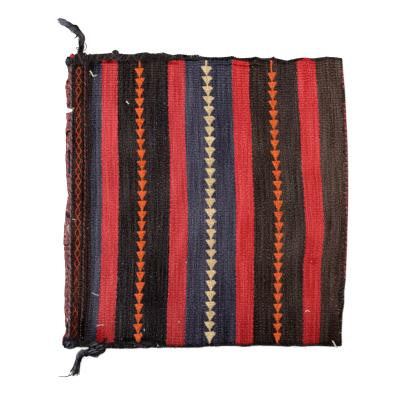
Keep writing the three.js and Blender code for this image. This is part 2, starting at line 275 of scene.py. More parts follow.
def bareness(side, x):
    """0 where wool covers the cloth's edge, 1 where the edge is bare."""
    return smoothstep(pixel_x(x), *BARE_EDGES[side])


def cloth_edge(side, x):
    """The cloth's edge: inside the seam's wool, or at the outline where there is little wool."""
    return lerp(seam_edge(side, x), outline_y(side, x) - EDGE_YARN, bareness(side, x))


# How stripe edges wander off their drift, as pixels (y, shift of x), by the edge's number from the mouth
EDGE_WANDERS = {
    1: ((296, 0), (315, -1.7), (328, -2.4), (344, -2.6)),
    2: ((66, 0.6), (130, 0.3), (146, -0.4), (200, 0), (308, 0), (324, -0.5), (334, -1.4), (344, -1.5)),
    3: ((66, -0.6), (146, -0.5), (166, 0)),
    4: ((66, 0.8), (126, 1.1), (156, 1.7), (186, 0.4), (286, 0.8), (306, 0)),
    5: ((86, 0.1), (106, -0.7), (186, -0.4), (226, 0.8), (286, 0.7), (326, 0.3)),
    6: ((66, -0.9), (146, -0.8), (176, -1.5), (206, -0.8), (266, -1.0), (286, -0.4)),
    7: ((66, -0.5), (86, -1.1), (126, 0.4), (176, -0.3), (216, 0.6), (326, 0.3)),
    8: ((126, 0.2), (170, -0.9), (206, 0), (226, 2.0), (246, 1.7), (266, 0.1)),
    9: ((66, 1.3), (126, 1.5), (166, -0.2), (206, 0.5), (226, 2.1), (246, 1.3), (266, 0), (318, -0.2),
        (328, -0.8), (342, -1.8)),
    10: ((66, 0), (88, 0.5), (100, 0.3), (115, 0.1), (145, 0.4), (230, 0.4), (245, 0.7), (280, 0.7),
         (292, -0.1), (303, 0.4), (308, 0.1), (314, -0.7), (334, -0.7), (342, 0)),
}


def edge_wander(k, across):
    if k not in EDGE_WANDERS:
        return 0.0
    return between(EDGE_WANDERS[k], pixel_y(FABRIC_WIDTH * (0.5 - np.asarray(across)))) * MM_PER_PIXEL


def fold_x(across):
    """The outer edge of the fold."""
    return BAG_LENGTH / 2 + stations(FOLD_DRIFT, across) + edge_wander(len(FIELD_WIDTHS), across)


def front_x(u, across):
    """Where the front panel's weft at u lies along X."""
    lines = [FRONT_MOUTH + edge + stations(drift, across) + edge_wander(k, across)
             for k, (edge, drift) in enumerate(zip(FIELD_EDGES, EDGE_DRIFTS))]
    k = min(int(np.searchsorted(FIELD_EDGES, u, side="right")) - 1, len(FIELD_WIDTHS) - 1)
    share = (u - FIELD_EDGES[k]) / FIELD_WIDTHS[k]
    return lerp(lines[k], lines[k + 1], share)


def slack(x, y):
    """How far the front panel rises and sinks as it lies."""
    across = across_at(x, y)
    near_fold = smoothstep(BAG_LENGTH / 2 - np.asarray(x), 8, 60)
    from_seam = np.minimum(across, 1 - across) * FABRIC_WIDTH
    broad = 0.9 * waves(x, y, 3, 70, 170) * smoothstep(from_seam, 8, 60)
    pucker = 0.55 * waves(x, 0.25 * y, 5, 16, 40) * (1 - smoothstep(from_seam, 10, 48))
    lifted_mouth = 0.7 * waves(0 * x, y, 8, 55, 120, 8) * (1 - smoothstep(x - FRONT_MOUTH, 0, 50))
    return (broad + pucker + lifted_mouth * openness(across)) * near_fold


def rib_profile(across):
    """0 in the valley between two ribs, 1 on the crest."""
    share = np.mod(np.asarray(across) * RIBS, 1)
    return 1 - np.abs(2 * share - 1) ** 2.2


def front_height(x, y, rib_share):
    """Height of the front panel's face at a share of its ribs' height."""
    across = across_at(x, y)
    base = panel_lift(across) + 2 * CLOTH_THICKNESS + pocket_gap(across)
    return base + slack(x, y) + RIB_HEIGHT * rib_share


# Meshes

class Builder:
    """Collects parts in millimetres and makes one piece of them. Each vertex carries a mark
    of three numbers for the material to read."""

    def __init__(self):
        self.points, self.marks, self.faces, self.slots = [], [], [], []
        self.count = 0

    def add(self, points, marks, faces, slot=0):
        self.points.append(np.asarray(points, float))
        self.marks.append(np.asarray(marks, float))
        self.faces.extend([[i + self.count for i in face] for face in faces])
        self.slots.extend([slot] * len(faces))
        self.count += len(points)

    def tube(self, path, radius, sides, shade, slot=0, up=(0, 0, 1), flat=1.0):
        """A yarn along path. Marks are length along it, turn around it, and its shade."""
        count = len(path)
        radius = np.broadcast_to(np.asarray(radius, float), count)
        side, above = sides_of(path, up)
        turn = np.arange(sides) / sides
        ring = (side[:, None] * np.cos(TAU * turn)[None, :, None]
                + flat * above[:, None] * np.sin(TAU * turn)[None, :, None])
        points = path[:, None] + ring * radius[:, None, None]
        marks = np.empty((count, sides, 3))
        marks[..., 0] = lengths_along(path)[:, None]
        marks[..., 1] = np.minimum(turn, 1 - turn)[None]
        marks[..., 2] = np.broadcast_to(shade, count)[:, None]
        faces = list(ring_faces(count, sides))
        faces.append(tuple(range(sides - 1, -1, -1)))
        faces.append(tuple((count - 1) * sides + j for j in range(sides)))
        self.add(points.reshape(-1, 3), marks.reshape(-1, 3), faces, slot)

    def piece(self, name, materials, mark_name="yarn"):
        mesh = bpy.data.meshes.new(name)
        mesh.from_pydata((np.concatenate(self.points) * MM).tolist(), [], self.faces)
        marks = mesh.attributes.new(mark_name, "FLOAT_VECTOR", "POINT")
        marks.data.foreach_set("vector", np.concatenate(self.marks).astype(np.float32).ravel())
        mesh.polygons.foreach_set("material_index", self.slots)
        mesh.polygons.foreach_set("use_smooth", [True] * len(self.faces))
        for material in materials:
            mesh.materials.append(material)
        mesh.update()
        piece = bpy.data.objects.new(name, mesh)
        bpy.context.scene.collection.objects.link(piece)
        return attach(piece, "root")


# Materials

WOOL_SURFACE = {
    "Roughness": 0.95, "Specular IOR Level": 0.04, "Sheen Weight": 0.012, "Sheen Roughness": 0.6,
}
DISPLAY_GAMMA = 2.2


class Nodes:
    """Short calls for building one material's node tree."""

    def __init__(self, name):
        self.material = bpy.data.materials.new(name)
        self.material.use_nodes = True
        self.tree = self.material.node_tree
        self.shader = self.tree.nodes["Principled BSDF"]

    def put(self, socket, value):
        if isinstance(value, bpy.types.NodeSocket):
            self.tree.links.new(value, socket)
        else:
            socket.default_value = value

    def new(self, kind, inputs=(), **settings):
        """The outputs of a new node, whose inputs are given as (name or number, value)."""
        node = self.tree.nodes.new(kind)
        for key, value in settings.items():
            setattr(node, key, value)
        for key, value in inputs:
            self.put(node.inputs[key], value)
        return node.outputs

    def math(self, operation, *values):
        return self.new("ShaderNodeMath", enumerate(values), operation=operation)[0]

    def map(self, value, low, high, to_low, to_high):
        """A value that runs from to_low at low to to_high at high, and no further."""
        return self.new("ShaderNodeMapRange", enumerate((value, low, high, to_low, to_high)))[0]

    def marks(self, name):
        mark = self.new("ShaderNodeAttribute", attribute_name=name)["Vector"]
        return self.new("ShaderNodeSeparateXYZ", [(0, mark)])

    def vector(self, *values):
        return self.new("ShaderNodeCombineXYZ", enumerate(values))[0]

    def noise(self, vector, scale=1.0, detail=2.0):
        inputs = ("Vector", vector), ("Scale", scale), ("Detail", detail)
        return self.new("ShaderNodeTexNoise", inputs)["Fac"]

    def swing(self, noise, reach):
        """Noise as a value that swings this far both ways."""
        return self.map(noise, 0.3, 0.7, -reach, reach)

    def random(self, x, y):
        place = [("Vector", self.vector(x, y))]
        return self.new("ShaderNodeTexWhiteNoise", place, noise_dimensions="2D")["Value"]

    def ramp(self, factor, stops, interpolation="LINEAR"):
        """A colour by a value from 0 to 1, from stops of (place, colour)."""
        colours = self.new("ShaderNodeValToRGB", [("Fac", factor)])["Color"]
        ramp = colours.node.color_ramp
        ramp.interpolation = interpolation
        while len(ramp.elements) < len(stops):
            ramp.elements.new(1.0)
        for element, (place, colour) in zip(ramp.elements, stops):
            element.position = place
            element.color = colour
        return colours

    def palette(self, pick, shades):
        """A colour picked from 8-bit shades by a value from 0 to 1."""
        return self.ramp(pick, [(k / (len(shades) - 1), linear(*shade)) for k, shade in enumerate(shades)])

    def mix(self, factor, a, b, blend="MIX"):
        inputs = (0, factor), (6, a), (7, b)  # those that the node has for colours
        return self.new("ShaderNodeMix", inputs, data_type="RGBA", blend_type=blend)[2]

    def vector_math(self, operation, *inputs):
        return self.new("ShaderNodeVectorMath", inputs, operation=operation)[0]

    def scaled(self, colour, factor):
        """A colour times a number."""
        return self.vector_math("SCALE", (0, colour), ("Scale", factor))

    def gamma(self, colour, gamma):
        return self.new("ShaderNodeGamma", ((0, colour), ("Gamma", gamma)))[0]

    def toned(self, colour, tone):
        """A colour with the same tone added to all its channels on a display's scale."""
        shown = self.gamma(colour, 1 / DISPLAY_GAMMA)
        shown = self.vector_math("ADD", (0, shown), (1, self.vector(tone, tone, tone)))
        return self.gamma(self.vector_math("MAXIMUM", (0, shown), (1, (0, 0, 0))), DISPLAY_GAMMA)

    def finish(self, colour, height, relief):
        """Dull wool of a colour, with a bumpy face whose relief is in millimetres."""
        bump = ("Strength", 1.0), ("Distance", relief * MM), ("Height", height)
        normal = self.new("ShaderNodeBump", bump)[0]
        for name, value in (("Normal", normal), ("Base Color", colour), *WOOL_SURFACE.items()):
            self.put(self.shader.inputs[name], value)
        return self.material


# Weft colours
BAND_BROWN = linear(41, 24, 19)
BAND_BLACK = linear(10, 0, 0)
BAND_GREY = linear(32, 21, 20)
DEEP_NAVY = linear(44, 43, 56)
NAVY = linear(70, 67, 83)
DULL_NAVY = linear(61, 59, 74)
PINK_RED = linear(206, 64, 68)
MADDER = linear(203, 59, 63)
RED = linear(210, 54, 57)
CHARCOAL = linear(42, 31, 31)
BROWN = linear(53, 36, 31)
WARM_BROWN = linear(61, 46, 41)
EDGE_BROWN = linear(77, 56, 48)
SELVEDGE_BROWN = linear(40, 30, 29)
FLECK = linear(214, 196, 180)
LIP_GREY = linear(88, 84, 96)
LIP_SHADES = (
    (0.30, linear(92, 38, 40)), (0.44, linear(134, 68, 70)), (0.56, linear(168, 102, 103)),
    (0.70, linear(206, 154, 154)),
)
# Where each weft colour starts along u
WEFT_FROM, WEFT_TO = -14.0, 410.0
WEFT_STOPS = (
    (WEFT_FROM, BAND_BROWN), (15.0, BAND_BLACK), (22.5, BAND_GREY), (28.0, DEEP_NAVY), (35.5, NAVY),
    (FIELD_EDGES[2], PINK_RED), (FIELD_EDGES[3], CHARCOAL), (FIELD_EDGES[4], MADDER),
    (FIELD_EDGES[5], NAVY), (196.0, DULL_NAVY), (FIELD_EDGES[6], RED), (FIELD_EDGES[7], BROWN),
    (292.0, WARM_BROWN), (FIELD_EDGES[8], RED), (FIELD_EDGES[9], EDGE_BROWN),
)
CHARCOAL_SPAN = ((FIELD_EDGES[3] + FIELD_EDGES[4]) / 2, (FIELD_EDGES[4] - FIELD_EDGES[3]) / 2)
BEAD_LENGTH = 1.8  # one weft's width on a rib
SELVEDGE = {"right": 1.0, "left": 0.7}  # in ribs
# Stains, faded places and thin lines of painted shade: middle along u and in ribs, half sizes, how far the
# tone shifts
STAINS_AND_SHADE_LINES = (
    (35, 3.2, 17, 5.4, -0.1), (119, 93, 22, 17, -0.06), (214, 97, 20, 20, -0.03), (175, 92, 17, 16, -0.06),
    (80, 106, 22, 14, 0.02), (212, 20, 22, 24, -0.025), (336, 18, 30, 30, 0.03), (362, 67, 5, 3, -0.06),
    # The thin dark lines at ribs 1.9 to 3.2 lie in creases by the right seam, and the one at rib 113.5 runs
    # along the edge of the left seam's wool. These are painted shade.
    (236, 2.95, 38, 0.6, -0.17), (266, 3.2, 14, 0.8, -0.1), (91, 113.5, 34, 0.9, -0.12),
    (54, 2.75, 19, 0.75, -0.24), (54, 1.9, 4.5, 1.3, -0.32), (145, 2.5, 13, 0.6, -0.2),
    (88, 2.2, 28, 0.6, -0.1), (44, 103, 22, 11, 0.035), (32, 80, 7, 46, 0.055), (48, 115, 17, 9, -0.17),
    (216, 40, 20, 10, -0.05), (240, 53, 22, 10, 0.055), (177, 26, 14, 11, -0.04), (300, 33, 20, 17, 0.045),
    (354, 35, 13, 24, 0.035), (374, 17, 13, 9, 0.045), (310, 10, 18, 8, -0.05), (333, 77, 16, 12, -0.06),
    (374, 83, 15, 9, -0.04), (128, 27, 14, 13, -0.04), (341, 82, 9, 2.4, -0.09),
)
COLD_PLACE = (121, 27, 28, 17, 0.6)
# Ribs between which something sets in
COLD_RIBS = (70.0, 100.0)
# painted shade: light falloff towards the left seam, and shade beside the left seam's wool
FALLOFF_SHADE_RIBS = (70.0, 112.0)
LEFT_SEAM_SHADE_RIBS = (102.0, 114.0)
# painted shade: the valleys between ribs darken more towards the right seam and towards the left seam
DEEP_RIBS = {"right": (34.0, 12.0), "left": (92.0, 110.0)}
GREY_LIP_RIBS = (8.0, 5.5)
# the tones of the painted shade in the rib valleys
VALLEY_SHADE_TONES = (-0.026, -0.14)  # between flat ribs and between deep ones


class ClothNodes(Nodes):
    """The cloth's node tree, with u and the rib's number from the mesh."""

    def __init__(self, name):
        super().__init__(name)
        self.u, self.rib, _ = self.marks("weave")
        self.rib_number = self.math("FLOOR", self.rib)
        self.parity = self.math("MODULO", self.rib_number, 2.0)
        self.crest = self.math("PINGPONG", self.math("FRACT", self.rib), 0.5)
        bead = self.math("MULTIPLY_ADD", self.parity, 0.5, self.math("DIVIDE", self.u, BEAD_LENGTH))
        self.dome = self.math("PINGPONG", self.math("FRACT", bead), 0.5)

    def spread(self, along_weft, along_rib):
        return self.math("MULTIPLY", self.u, along_weft), self.math("MULTIPLY", self.rib, along_rib)

    def grain(self, along_weft, along_rib, offset=0.0, detail=1.0):
        """Noise with features of 1 / along_weft millimetres by 1 / along_rib ribs."""
        return self.noise(self.vector(*self.spread(along_weft, along_rib), offset), 1.0, detail)

    def soft_patch(self, middle_u, middle_rib, half_u, half_rib, tone):
        along = self.math("DIVIDE", self.math("SUBTRACT", self.u, middle_u), half_u)
        down = self.math("DIVIDE", self.math("SUBTRACT", self.rib, middle_rib), half_rib)
        away = self.math("SQRT", self.math("MULTIPLY_ADD", along, along, self.math("MULTIPLY", down, down)))
        return self.map(away, 0.3, 1.0, tone, 0.0)


def stripes(n):
    """The wefts' colours, whose edges step from rib to rib, and the back panel's faded lip."""
    step = n.math("MULTIPLY_ADD", n.parity, 0.7, -0.35)
    uneven = n.map(n.random(n.rib_number, 3.5), 0, 1, -0.4, 0.4)
    place = n.math("ADD", n.math("ADD", n.u, step), uneven)
    stops = [((start - WEFT_FROM) / (WEFT_TO - WEFT_FROM), colour) for start, colour in WEFT_STOPS]
    colour = n.ramp(n.map(place, WEFT_FROM, WEFT_TO, 0, 1), stops, "CONSTANT")
    grey_places = n.map(n.grain(0.45, 0.7, 6.0), 0.54, 0.66, 0.0, 0.8)
    grey = n.math("MAXIMUM", grey_places, n.map(n.rib, *GREY_LIP_RIBS, 0.0, 0.8))
    faded = n.mix(grey, n.ramp(n.grain(0.5, 0.9, 5.0, 3.0), LIP_SHADES), LIP_GREY)
    return n.mix(n.math("LESS_THAN", n.u, 0.0), colour, faded)


def cold_charcoal(n, colour):
    """The charcoal wool is colder towards the left seam and in one place near the right one."""
    cold = n.math("MAXIMUM", n.map(n.rib, *COLD_RIBS, 0.0, 1.0), n.soft_patch(*COLD_PLACE))
    cold = n.math("MULTIPLY", cold, n.math("COMPARE", n.u, *CHARCOAL_SPAN))
    tint = n.vector(n.map(cold, 0, 1, 1, 0.82), 1.0, n.map(cold, 0, 1, 1, 1.2))
    return n.mix(1.0, colour, tint, "MULTIPLY")


def dark_selvedges(n, colour):
    """The wefts turn back round a dark selvedge, which ends before the fold at the right."""
    jagged = n.swing(n.noise(n.vector(n.math("MULTIPLY", n.u, 0.4), 0.0, 7.0), 1.0, 3.0), 1.0)
    worn_rib = n.math("ADD", n.rib, jagged)
    at_right = n.math("LESS_THAN", worn_rib, n.map(n.u, 285.0, 300.0, SELVEDGE["right"], -1.0))
    at_left = n.math("GREATER_THAN", worn_rib, RIBS - SELVEDGE["left"])
    return n.mix(n.math("MAXIMUM", at_right, at_left), colour, SELVEDGE_BROWN)


def worn_and_shaded_tones(n, colour, fibre):
    """Tone shifts that all three channels share: the speckle of spun wool, each weft's own dye,
    worn patches, pale broken fibres, painted shade between ribs and wefts, in creases and by the left
    seam's wool, painted light falloff towards the left seam, and a darker tone at the edges."""
    # painted shade: darker towards the left seam as the light falls off, most near the fold, and more
    # beside the left seam's wool
    falloff_shade = n.map(n.rib, *FALLOFF_SHADE_RIBS, 0.0, 1.0)
    left_seam_shade = n.map(n.rib, *LEFT_SEAM_SHADE_RIBS, 0.0, 1.0)
    kept = n.math("SUBTRACT", 1.0, n.math("MULTIPLY", falloff_shade, n.map(n.u, 345.0, 365.0, 0.03, 0.12)))
    kept = n.math("MULTIPLY_ADD", left_seam_shade, -0.09, kept)
    colour = n.scaled(colour, n.math("POWER", kept, DISPLAY_GAMMA))

    # painted shade in the valleys between ribs, deeper by both seams
    deep_left = n.map(n.rib, *DEEP_RIBS["left"], 0.0, 0.55)
    deep_left = n.math("MULTIPLY", deep_left, n.map(n.u, 200.0, 300.0, 0.3, 1.0))
    deep = n.math("MAXIMUM", n.map(n.rib, *DEEP_RIBS["right"], 0.0, 1.0), deep_left)
    valley = n.map(deep, 0.0, 1.0, *VALLEY_SHADE_TONES)
    red = n.new("ShaderNodeSeparateColor", [(0, colour)])[0]
    even = n.map(red, 0.2, 0.4, 1.0, 0.8)  # the red wool is spun more evenly
    tone = n.math("MULTIPLY", even, n.swing(n.grain(0.72, 2.5), 0.16))
    for part in (
        n.swing(fibre, 0.03), n.swing(n.grain(0.55, 0.05, 2.0), 0.07),
        n.swing(n.grain(0.14, 0.03, 3.0), 0.02), n.swing(n.grain(0.022, 0.07, 4.0, 3.0), 0.03),
        n.map(n.grain(0.72, 2.6, 9.0), 0.56, 0.8, 0.0, 0.16),
        # painted shade in the valleys between ribs and between wefts
        n.map(n.crest, 0.0, 0.2, valley, 0.01), n.map(n.dome, 0.0, 0.3, -0.03, 0.01),
        # painted light falloff and painted shade beside the left seam's wool
        n.math("MULTIPLY", falloff_shade, n.map(n.u, 60.0, 380.0, -0.028, -0.045)),
        n.math("MULTIPLY", left_seam_shade, n.map(n.u, 100.0, 140.0, 0.0, -0.03)),
        n.map(n.math("PINGPONG", n.rib, RIBS / 2), 0.2, 2.0, -0.1, 0.0),
        *(n.soft_patch(*facts) for facts in STAINS_AND_SHADE_LINES),
    ):
        tone = n.math("ADD", tone, part)
    return n.toned(colour, tone)


def cloth_material():
    n = ClothNodes("woven_wool_stripes")
    fibre = n.grain(2.6, 1.7, 1.0, 3.0)
    colour = worn_and_shaded_tones(n, dark_selvedges(n, cold_charcoal(n, stripes(n))), fibre)
    fleck = n.random(*(n.math("FLOOR", place) for place in n.spread(1.1, 3.0)))
    colour = n.mix(n.map(fleck, 0.9985, 1.0, 0.0, 0.6), colour, FLECK)
    height = n.math("MULTIPLY_ADD", fibre, 0.6, n.math("POWER", n.dome, 0.6))
    return n.finish(colour, height, 0.5)


PLY_TURN = 3.2  # length of one turn of a yarn's twist
BROCADE_PITCH = 2.2  # between two brocade yarns
STRAND_PLACES = 57.0  # sets the noise of strands of different shades apart


def yarn_material(name, shades, relief=0.35):
    """Spun yarn whose strands differ in shade. Its marks are those that Builder.tube leaves."""
    n = Nodes(name)
    along, around, own_shade = n.marks("yarn")
    place = n.vector(along, n.math("MULTIPLY", around, 3.0), n.math("MULTIPLY", own_shade, STRAND_PLACES))
    fibre = n.noise(place, 1.6, 3.0)
    pick = n.math("ADD", n.swing(n.noise(place, 0.12), 0.3), own_shade)
    twist = n.math("ADD", n.math("MULTIPLY", around, 2.0), n.math("DIVIDE", along, PLY_TURN))
    groove = n.math("PINGPONG", twist, 0.5)
    # the groove between plies is darker, a painted shade; the fibre noise is the wool's own tone
    shade = n.math("MULTIPLY", n.map(fibre, 0.25, 0.75, 0.75, 1.25), n.map(groove, 0.0, 0.25, 0.7, 1.05))
    height = n.math("ADD", groove, n.math("MULTIPLY", fibre, 0.6))
    return n.finish(n.scaled(n.palette(pick, shades), shade), height, relief)


def brocade_material(name, shades):
    """Yarn laid in patches over the ribs. Its marks are the place in millimetres and a shade."""
    n = Nodes(name)
    x, y, own_shade = n.marks("yarn")
    place = n.vector(x, y, n.math("MULTIPLY", own_shade, STRAND_PLACES))
    pick = n.math("ADD", own_shade, n.swing(n.noise(place, 0.2), 0.25))
    lines = n.math("PINGPONG", n.math("DIVIDE", x, BROCADE_PITCH), 0.5)
    ribs = n.math("PINGPONG", n.math("DIVIDE", y, FABRIC_WIDTH / RIBS), 0.5)
    speckle = n.swing(n.noise(place, 0.72, 1.0), 0.13)
    # darker between the brocade's yarns and in the valleys between ribs: painted shade
    tone = n.math("ADD", speckle, n.map(lines, 0.0, 0.3, -0.07, 0.02))
    tone = n.math("ADD", tone, n.map(ribs, 0.0, 0.2, -0.05, 0.01))
    return n.finish(n.toned(n.palette(pick, shades), tone), n.math("ADD", lines, speckle), 0.3)


GOAT_HAIR = yarn_material("goat_hair", ((18, 14, 15), (35, 28, 28), (53, 44, 43), (86, 73, 70)), relief=0.4)
TASSEL_HAIR = yarn_material(
    "tassel_hair", ((12, 9, 10), (34, 27, 27), (74, 62, 59), (76, 76, 90), (116, 118, 134)), relief=0.3)
SEAM_BLACK = yarn_material("seam_black_wool", ((14, 10, 10), (27, 21, 22), (42, 35, 37), (74, 68, 73)))
BLUE_BLACK = yarn_material("blue_black_wool", ((12, 11, 14), (26, 26, 31), (46, 47, 56), (92, 94, 106)))
KNOT_HAIR = yarn_material(
    "knot_hair", ((10, 8, 9), (30, 26, 29), (60, 56, 64), (92, 90, 102), (132, 130, 146)), relief=0.3)
ORANGE_YARN = brocade_material("orange_wool", ((207, 75, 26), (221, 93, 42), (230, 110, 57)))
DIAMOND_YARN = yarn_material("red_orange_wool", ((70, 22, 14), (150, 48, 26), (210, 76, 38), (228, 98, 54)))
CREAM_YARN = brocade_material("cream_wool", ((196, 166, 118), (212, 184, 140), (228, 202, 162)))
CREAM_THREAD = yarn_material("cream_thread", ((198, 168, 122), (222, 193, 148), (240, 216, 178)))
PINK_YARN = yarn_material("faded_red_wool", ((104, 60, 63), (140, 92, 95), (176, 130, 131)))
DIM_PINK_YARN = yarn_material("dim_red_wool", ((84, 46, 48), (120, 70, 73), (156, 104, 108)))
DARK_RED_YARN = yarn_material("dark_red_wool", ((76, 26, 28), (106, 36, 38), (134, 50, 52)))
RED_YARN = yarn_material("madder_wool", ((176, 40, 44), (204, 58, 60), (214, 78, 78)))
BEAD_RED_YARN = yarn_material("bead_red_wool", ((196, 48, 54), (222, 70, 74), (232, 98, 100)))
ROSE_YARN = yarn_material("rose_wool", ((178, 84, 86), (204, 116, 118), (222, 150, 150)))
SLATE_YARN = yarn_material("slate_wool", ((40, 38, 46), (64, 62, 74), (92, 90, 102)))
GREY_YARN = yarn_material("grey_blue_wool", ((66, 64, 70), (96, 92, 99), (130, 126, 132)))
DIM_GREY_YARN = yarn_material("dim_grey_wool", ((58, 46, 46), (86, 74, 74), (118, 106, 106)))
PALE_YARN = yarn_material("undyed_wool", ((210, 200, 186), (232, 226, 214), (246, 243, 236)))
TAN_YARN = yarn_material("tan_wool", ((120, 94, 74), (156, 126, 100), (190, 164, 134)))


# Camera

def add_camera():
    """Looks straight down with a long lens, framed as the photograph is."""
    distance = 3000.0
    x, y = photo_mm(PHOTO_PIXELS / 2, PHOTO_PIXELS / 2)
    data = bpy.data.cameras.new("camera")
    data.sensor_width = 36.0
    data.lens = data.sensor_width * distance / (PHOTO_PIXELS * MM_PER_PIXEL)
    data.clip_end = 20.0
    camera = bpy.data.objects.new("camera", data)
    face = 2 * CLOTH_THICKNESS + POCKET_GAP
    camera.location = Vector((x, y, distance + face)) * MM
    bpy.context.scene.collection.objects.link(camera)
    bpy.context.scene.camera = camera


# Tassels, whose routes are those of the CAD source: along X, out from the seam, height

RIGHT_ROUTE = (
    (0, 0, 5.9), (0.7, 4.5, 5.7), (1.6, 9, 5.4), (2.5, 13.4, 5.1), (3.3, 18, 4.8), (3, 22.4, 4.6),
    (1.4, 26.4, 4.6), (-1.7, 29.8, 4.6), (-5.5, 32.8, 4.6), (-9.4, 35.8, 4.6), (-13.2, 38.7, 4.6),
    (-17.3, 41.3, 4.6), (-21.7, 43.4, 4.6), (-26.4, 44.9, 4.6), (-31.4, 46.1, 4.6),
)
LEFT_ROUTE = (
    (0, 0, 5.9), (-0.2, 2.8, 5.8), (-1.5, 5.4, 5.7), (-4.2, 7, 5.6), (-8, 7.5, 5.5), (-12.1, 7.5, 5.4),
    (-16.2, 7.4, 5.3), (-20.2, 7.2, 5.1), (-24.2, 7.2, 4.9), (-28, 7.8, 4.7), (-31.4, 9.6, 4.6),
    (-33.9, 12.5, 4.6), (-35.3, 16.2, 4.6), (-36.1, 20.2, 4.6), (-36.9, 24.2, 4.6), (-38.3, 28.1, 4.6),
    (-40.3, 31.8, 4.6), (-42.8, 35.3, 4.6),
)
# Pairs are (share of the route, value): how far the strands lean to the side, how wide they lie and how
# pale they are. Two of the values make one side of the hank paler than the other and its middle paler
# than its edges: painted light and painted shade.
TASSELS = {
    "right": {
        "route": RIGHT_ROUTE, "from_mouth": 25.0, "seam_wool": 3.2, "seed": 21,
        "frays": 1.2, "painted_side_light": -0.22, "painted_crest_light": 0.35,
        "shades": ((0, 0), (0.2, 0.1), (0.32, 0.32), (0.55, 0.3), (0.72, 0.25), (0.86, 0.85), (1, 1.0)),
        "hair": TASSEL_HAIR,
        "leans": ((0, -0.4), (0.2, -1.2), (0.34, -0.8), (0.44, -1.8), (0.5, -1.8), (0.56, -0.6),
                  (0.64, -0.2), (0.72, -0.6), (0.85, 0.4), (1, 0.6)),
        "half_widths": ((0, 3.2), (0.2, 3.4), (0.36, 4.5), (0.46, 4.6), (0.54, 4.6), (0.62, 5.4),
                        (0.75, 5.2), (0.88, 4.0), (1, 3.0)),
    },
    "left": {
        "route": LEFT_ROUTE, "from_mouth": 59.0, "seam_wool": 2.2, "seed": 22,
        "frays": 2.6, "painted_side_light": 0.35, "painted_crest_light": 0.0,
        "shades": ((0, 0), (0.3, 0.1), (0.48, 0.25), (0.6, 0.15), (0.7, 0), (0.8, 0), (0.9, 0.15),
                   (1, 0.3)),
        "hair": KNOT_HAIR,
        "leans": ((0, 0.4), (0.06, 2.0), (0.12, 2.0), (0.2, 0.4), (0.34, -1.0), (0.42, -2.4), (0.48, -1.0),
                  (0.56, 1.6), (0.68, 1.8), (0.8, 1.5), (0.9, 2.2), (1, 3.2)),
        "half_widths": ((0, 3.6), (0.25, 4.0), (0.33, 2.6), (0.4, 3.2), (0.48, 5.0), (0.58, 5.8),
                        (0.68, 4.0), (0.76, 3.7), (0.86, 4.8), (1, 6.0)),
    },
}
# Strands that stray from the tassels: radius in millimetres, height, shade, pixels
STRAYS = {
    "right": (
        (0.6, 5.4, 0.15, ((84.4, 42.4), (85.9, 44.4), (86.3, 46.6), (85.2, 49.0), (82.8, 50.6))),
        (0.7, 5.4, 0.15, ((78.4, 49.4), (76.4, 48.4), (76.0, 47.2), (77.4, 46.8), (78.8, 48.6))),
        (1.1, 4.0, 0.2, ((78.6, 34.0), (75.6, 36.2), (73.2, 38.2))),
        (0.5, 3.4, 0.4, ((69.4, 28.6), (71.0, 31.6), (72.6, 32.4), (74.0, 31.2), (73.0, 29.6))),
        (0.8, 10.6, 0.1, ((81.0, 53.6), (83.6, 52.8), (86.0, 53.6), (87.8, 55.8))),
    ),
    "left": (
        (0.8, 0.9, 0.3, ((71.0, 375.4), (67.0, 377.0), (63.6, 377.6), (60.0, 377.4), (55.9, 377.8))),
        (0.95, 11.6, 0.1, ((103.2, 346.4), (103.6, 342.4), (105.0, 338.6), (106.6, 339.4), (106.0, 343.0),
                           (106.6, 346.8))),
        # The pale strands from here on stand for highlights on the bow's and the leg's strands: painted
        # highlights.
        (0.75, 9.8, 1.0, ((88.4, 352.2), (92.0, 350.6), (96.4, 349.8))),
        (0.7, 9.4, 0.9, ((91.0, 353.4), (95.0, 352.2), (98.6, 351.6))),
        (0.75, 12.6, 0.95, ((90.6, 346.4), (94.0, 344.6), (97.4, 344.0))),
        (0.7, 12.4, 0.85, ((96.4, 347.6), (99.6, 346.0), (102.6, 345.4))),
        (0.65, 10.0, 0.8, ((99.0, 350.0), (102.0, 349.0), (104.0, 347.8))),
        (0.7, 9.2, 1.0, ((78.8, 352.0), (77.5, 355.0), (77.8, 358.4))),
        (0.65, 9.6, 0.9, ((80.4, 351.4), (82.4, 353.0), (83.2, 355.4))),
    ),
}
TASSEL_STATIONS, TASSEL_STRANDS = 72, 80
TASSEL_ROOT = (4.5, 2.6)  # how far in from the route's first point and above it the strands start
TASSEL_REACH = 6.0  # no strand lies further to the side of the route
STRAND_SHADES = (0.0, 0.05, 0.1, 0.15, 0.25, 0.45, 0.55)


def tassel_points(side):
    facts = TASSELS[side]
    x0 = -BAG_LENGTH / 2 + facts["from_mouth"]
    y0 = float(seam_edge(side, x0)) + CLEARANCE + facts["seam_wool"] + TASSEL_GAP
    return np.array([(x0 + x, SIGN[side] * (y0 + out), z) for x, out, z in facts["route"]])


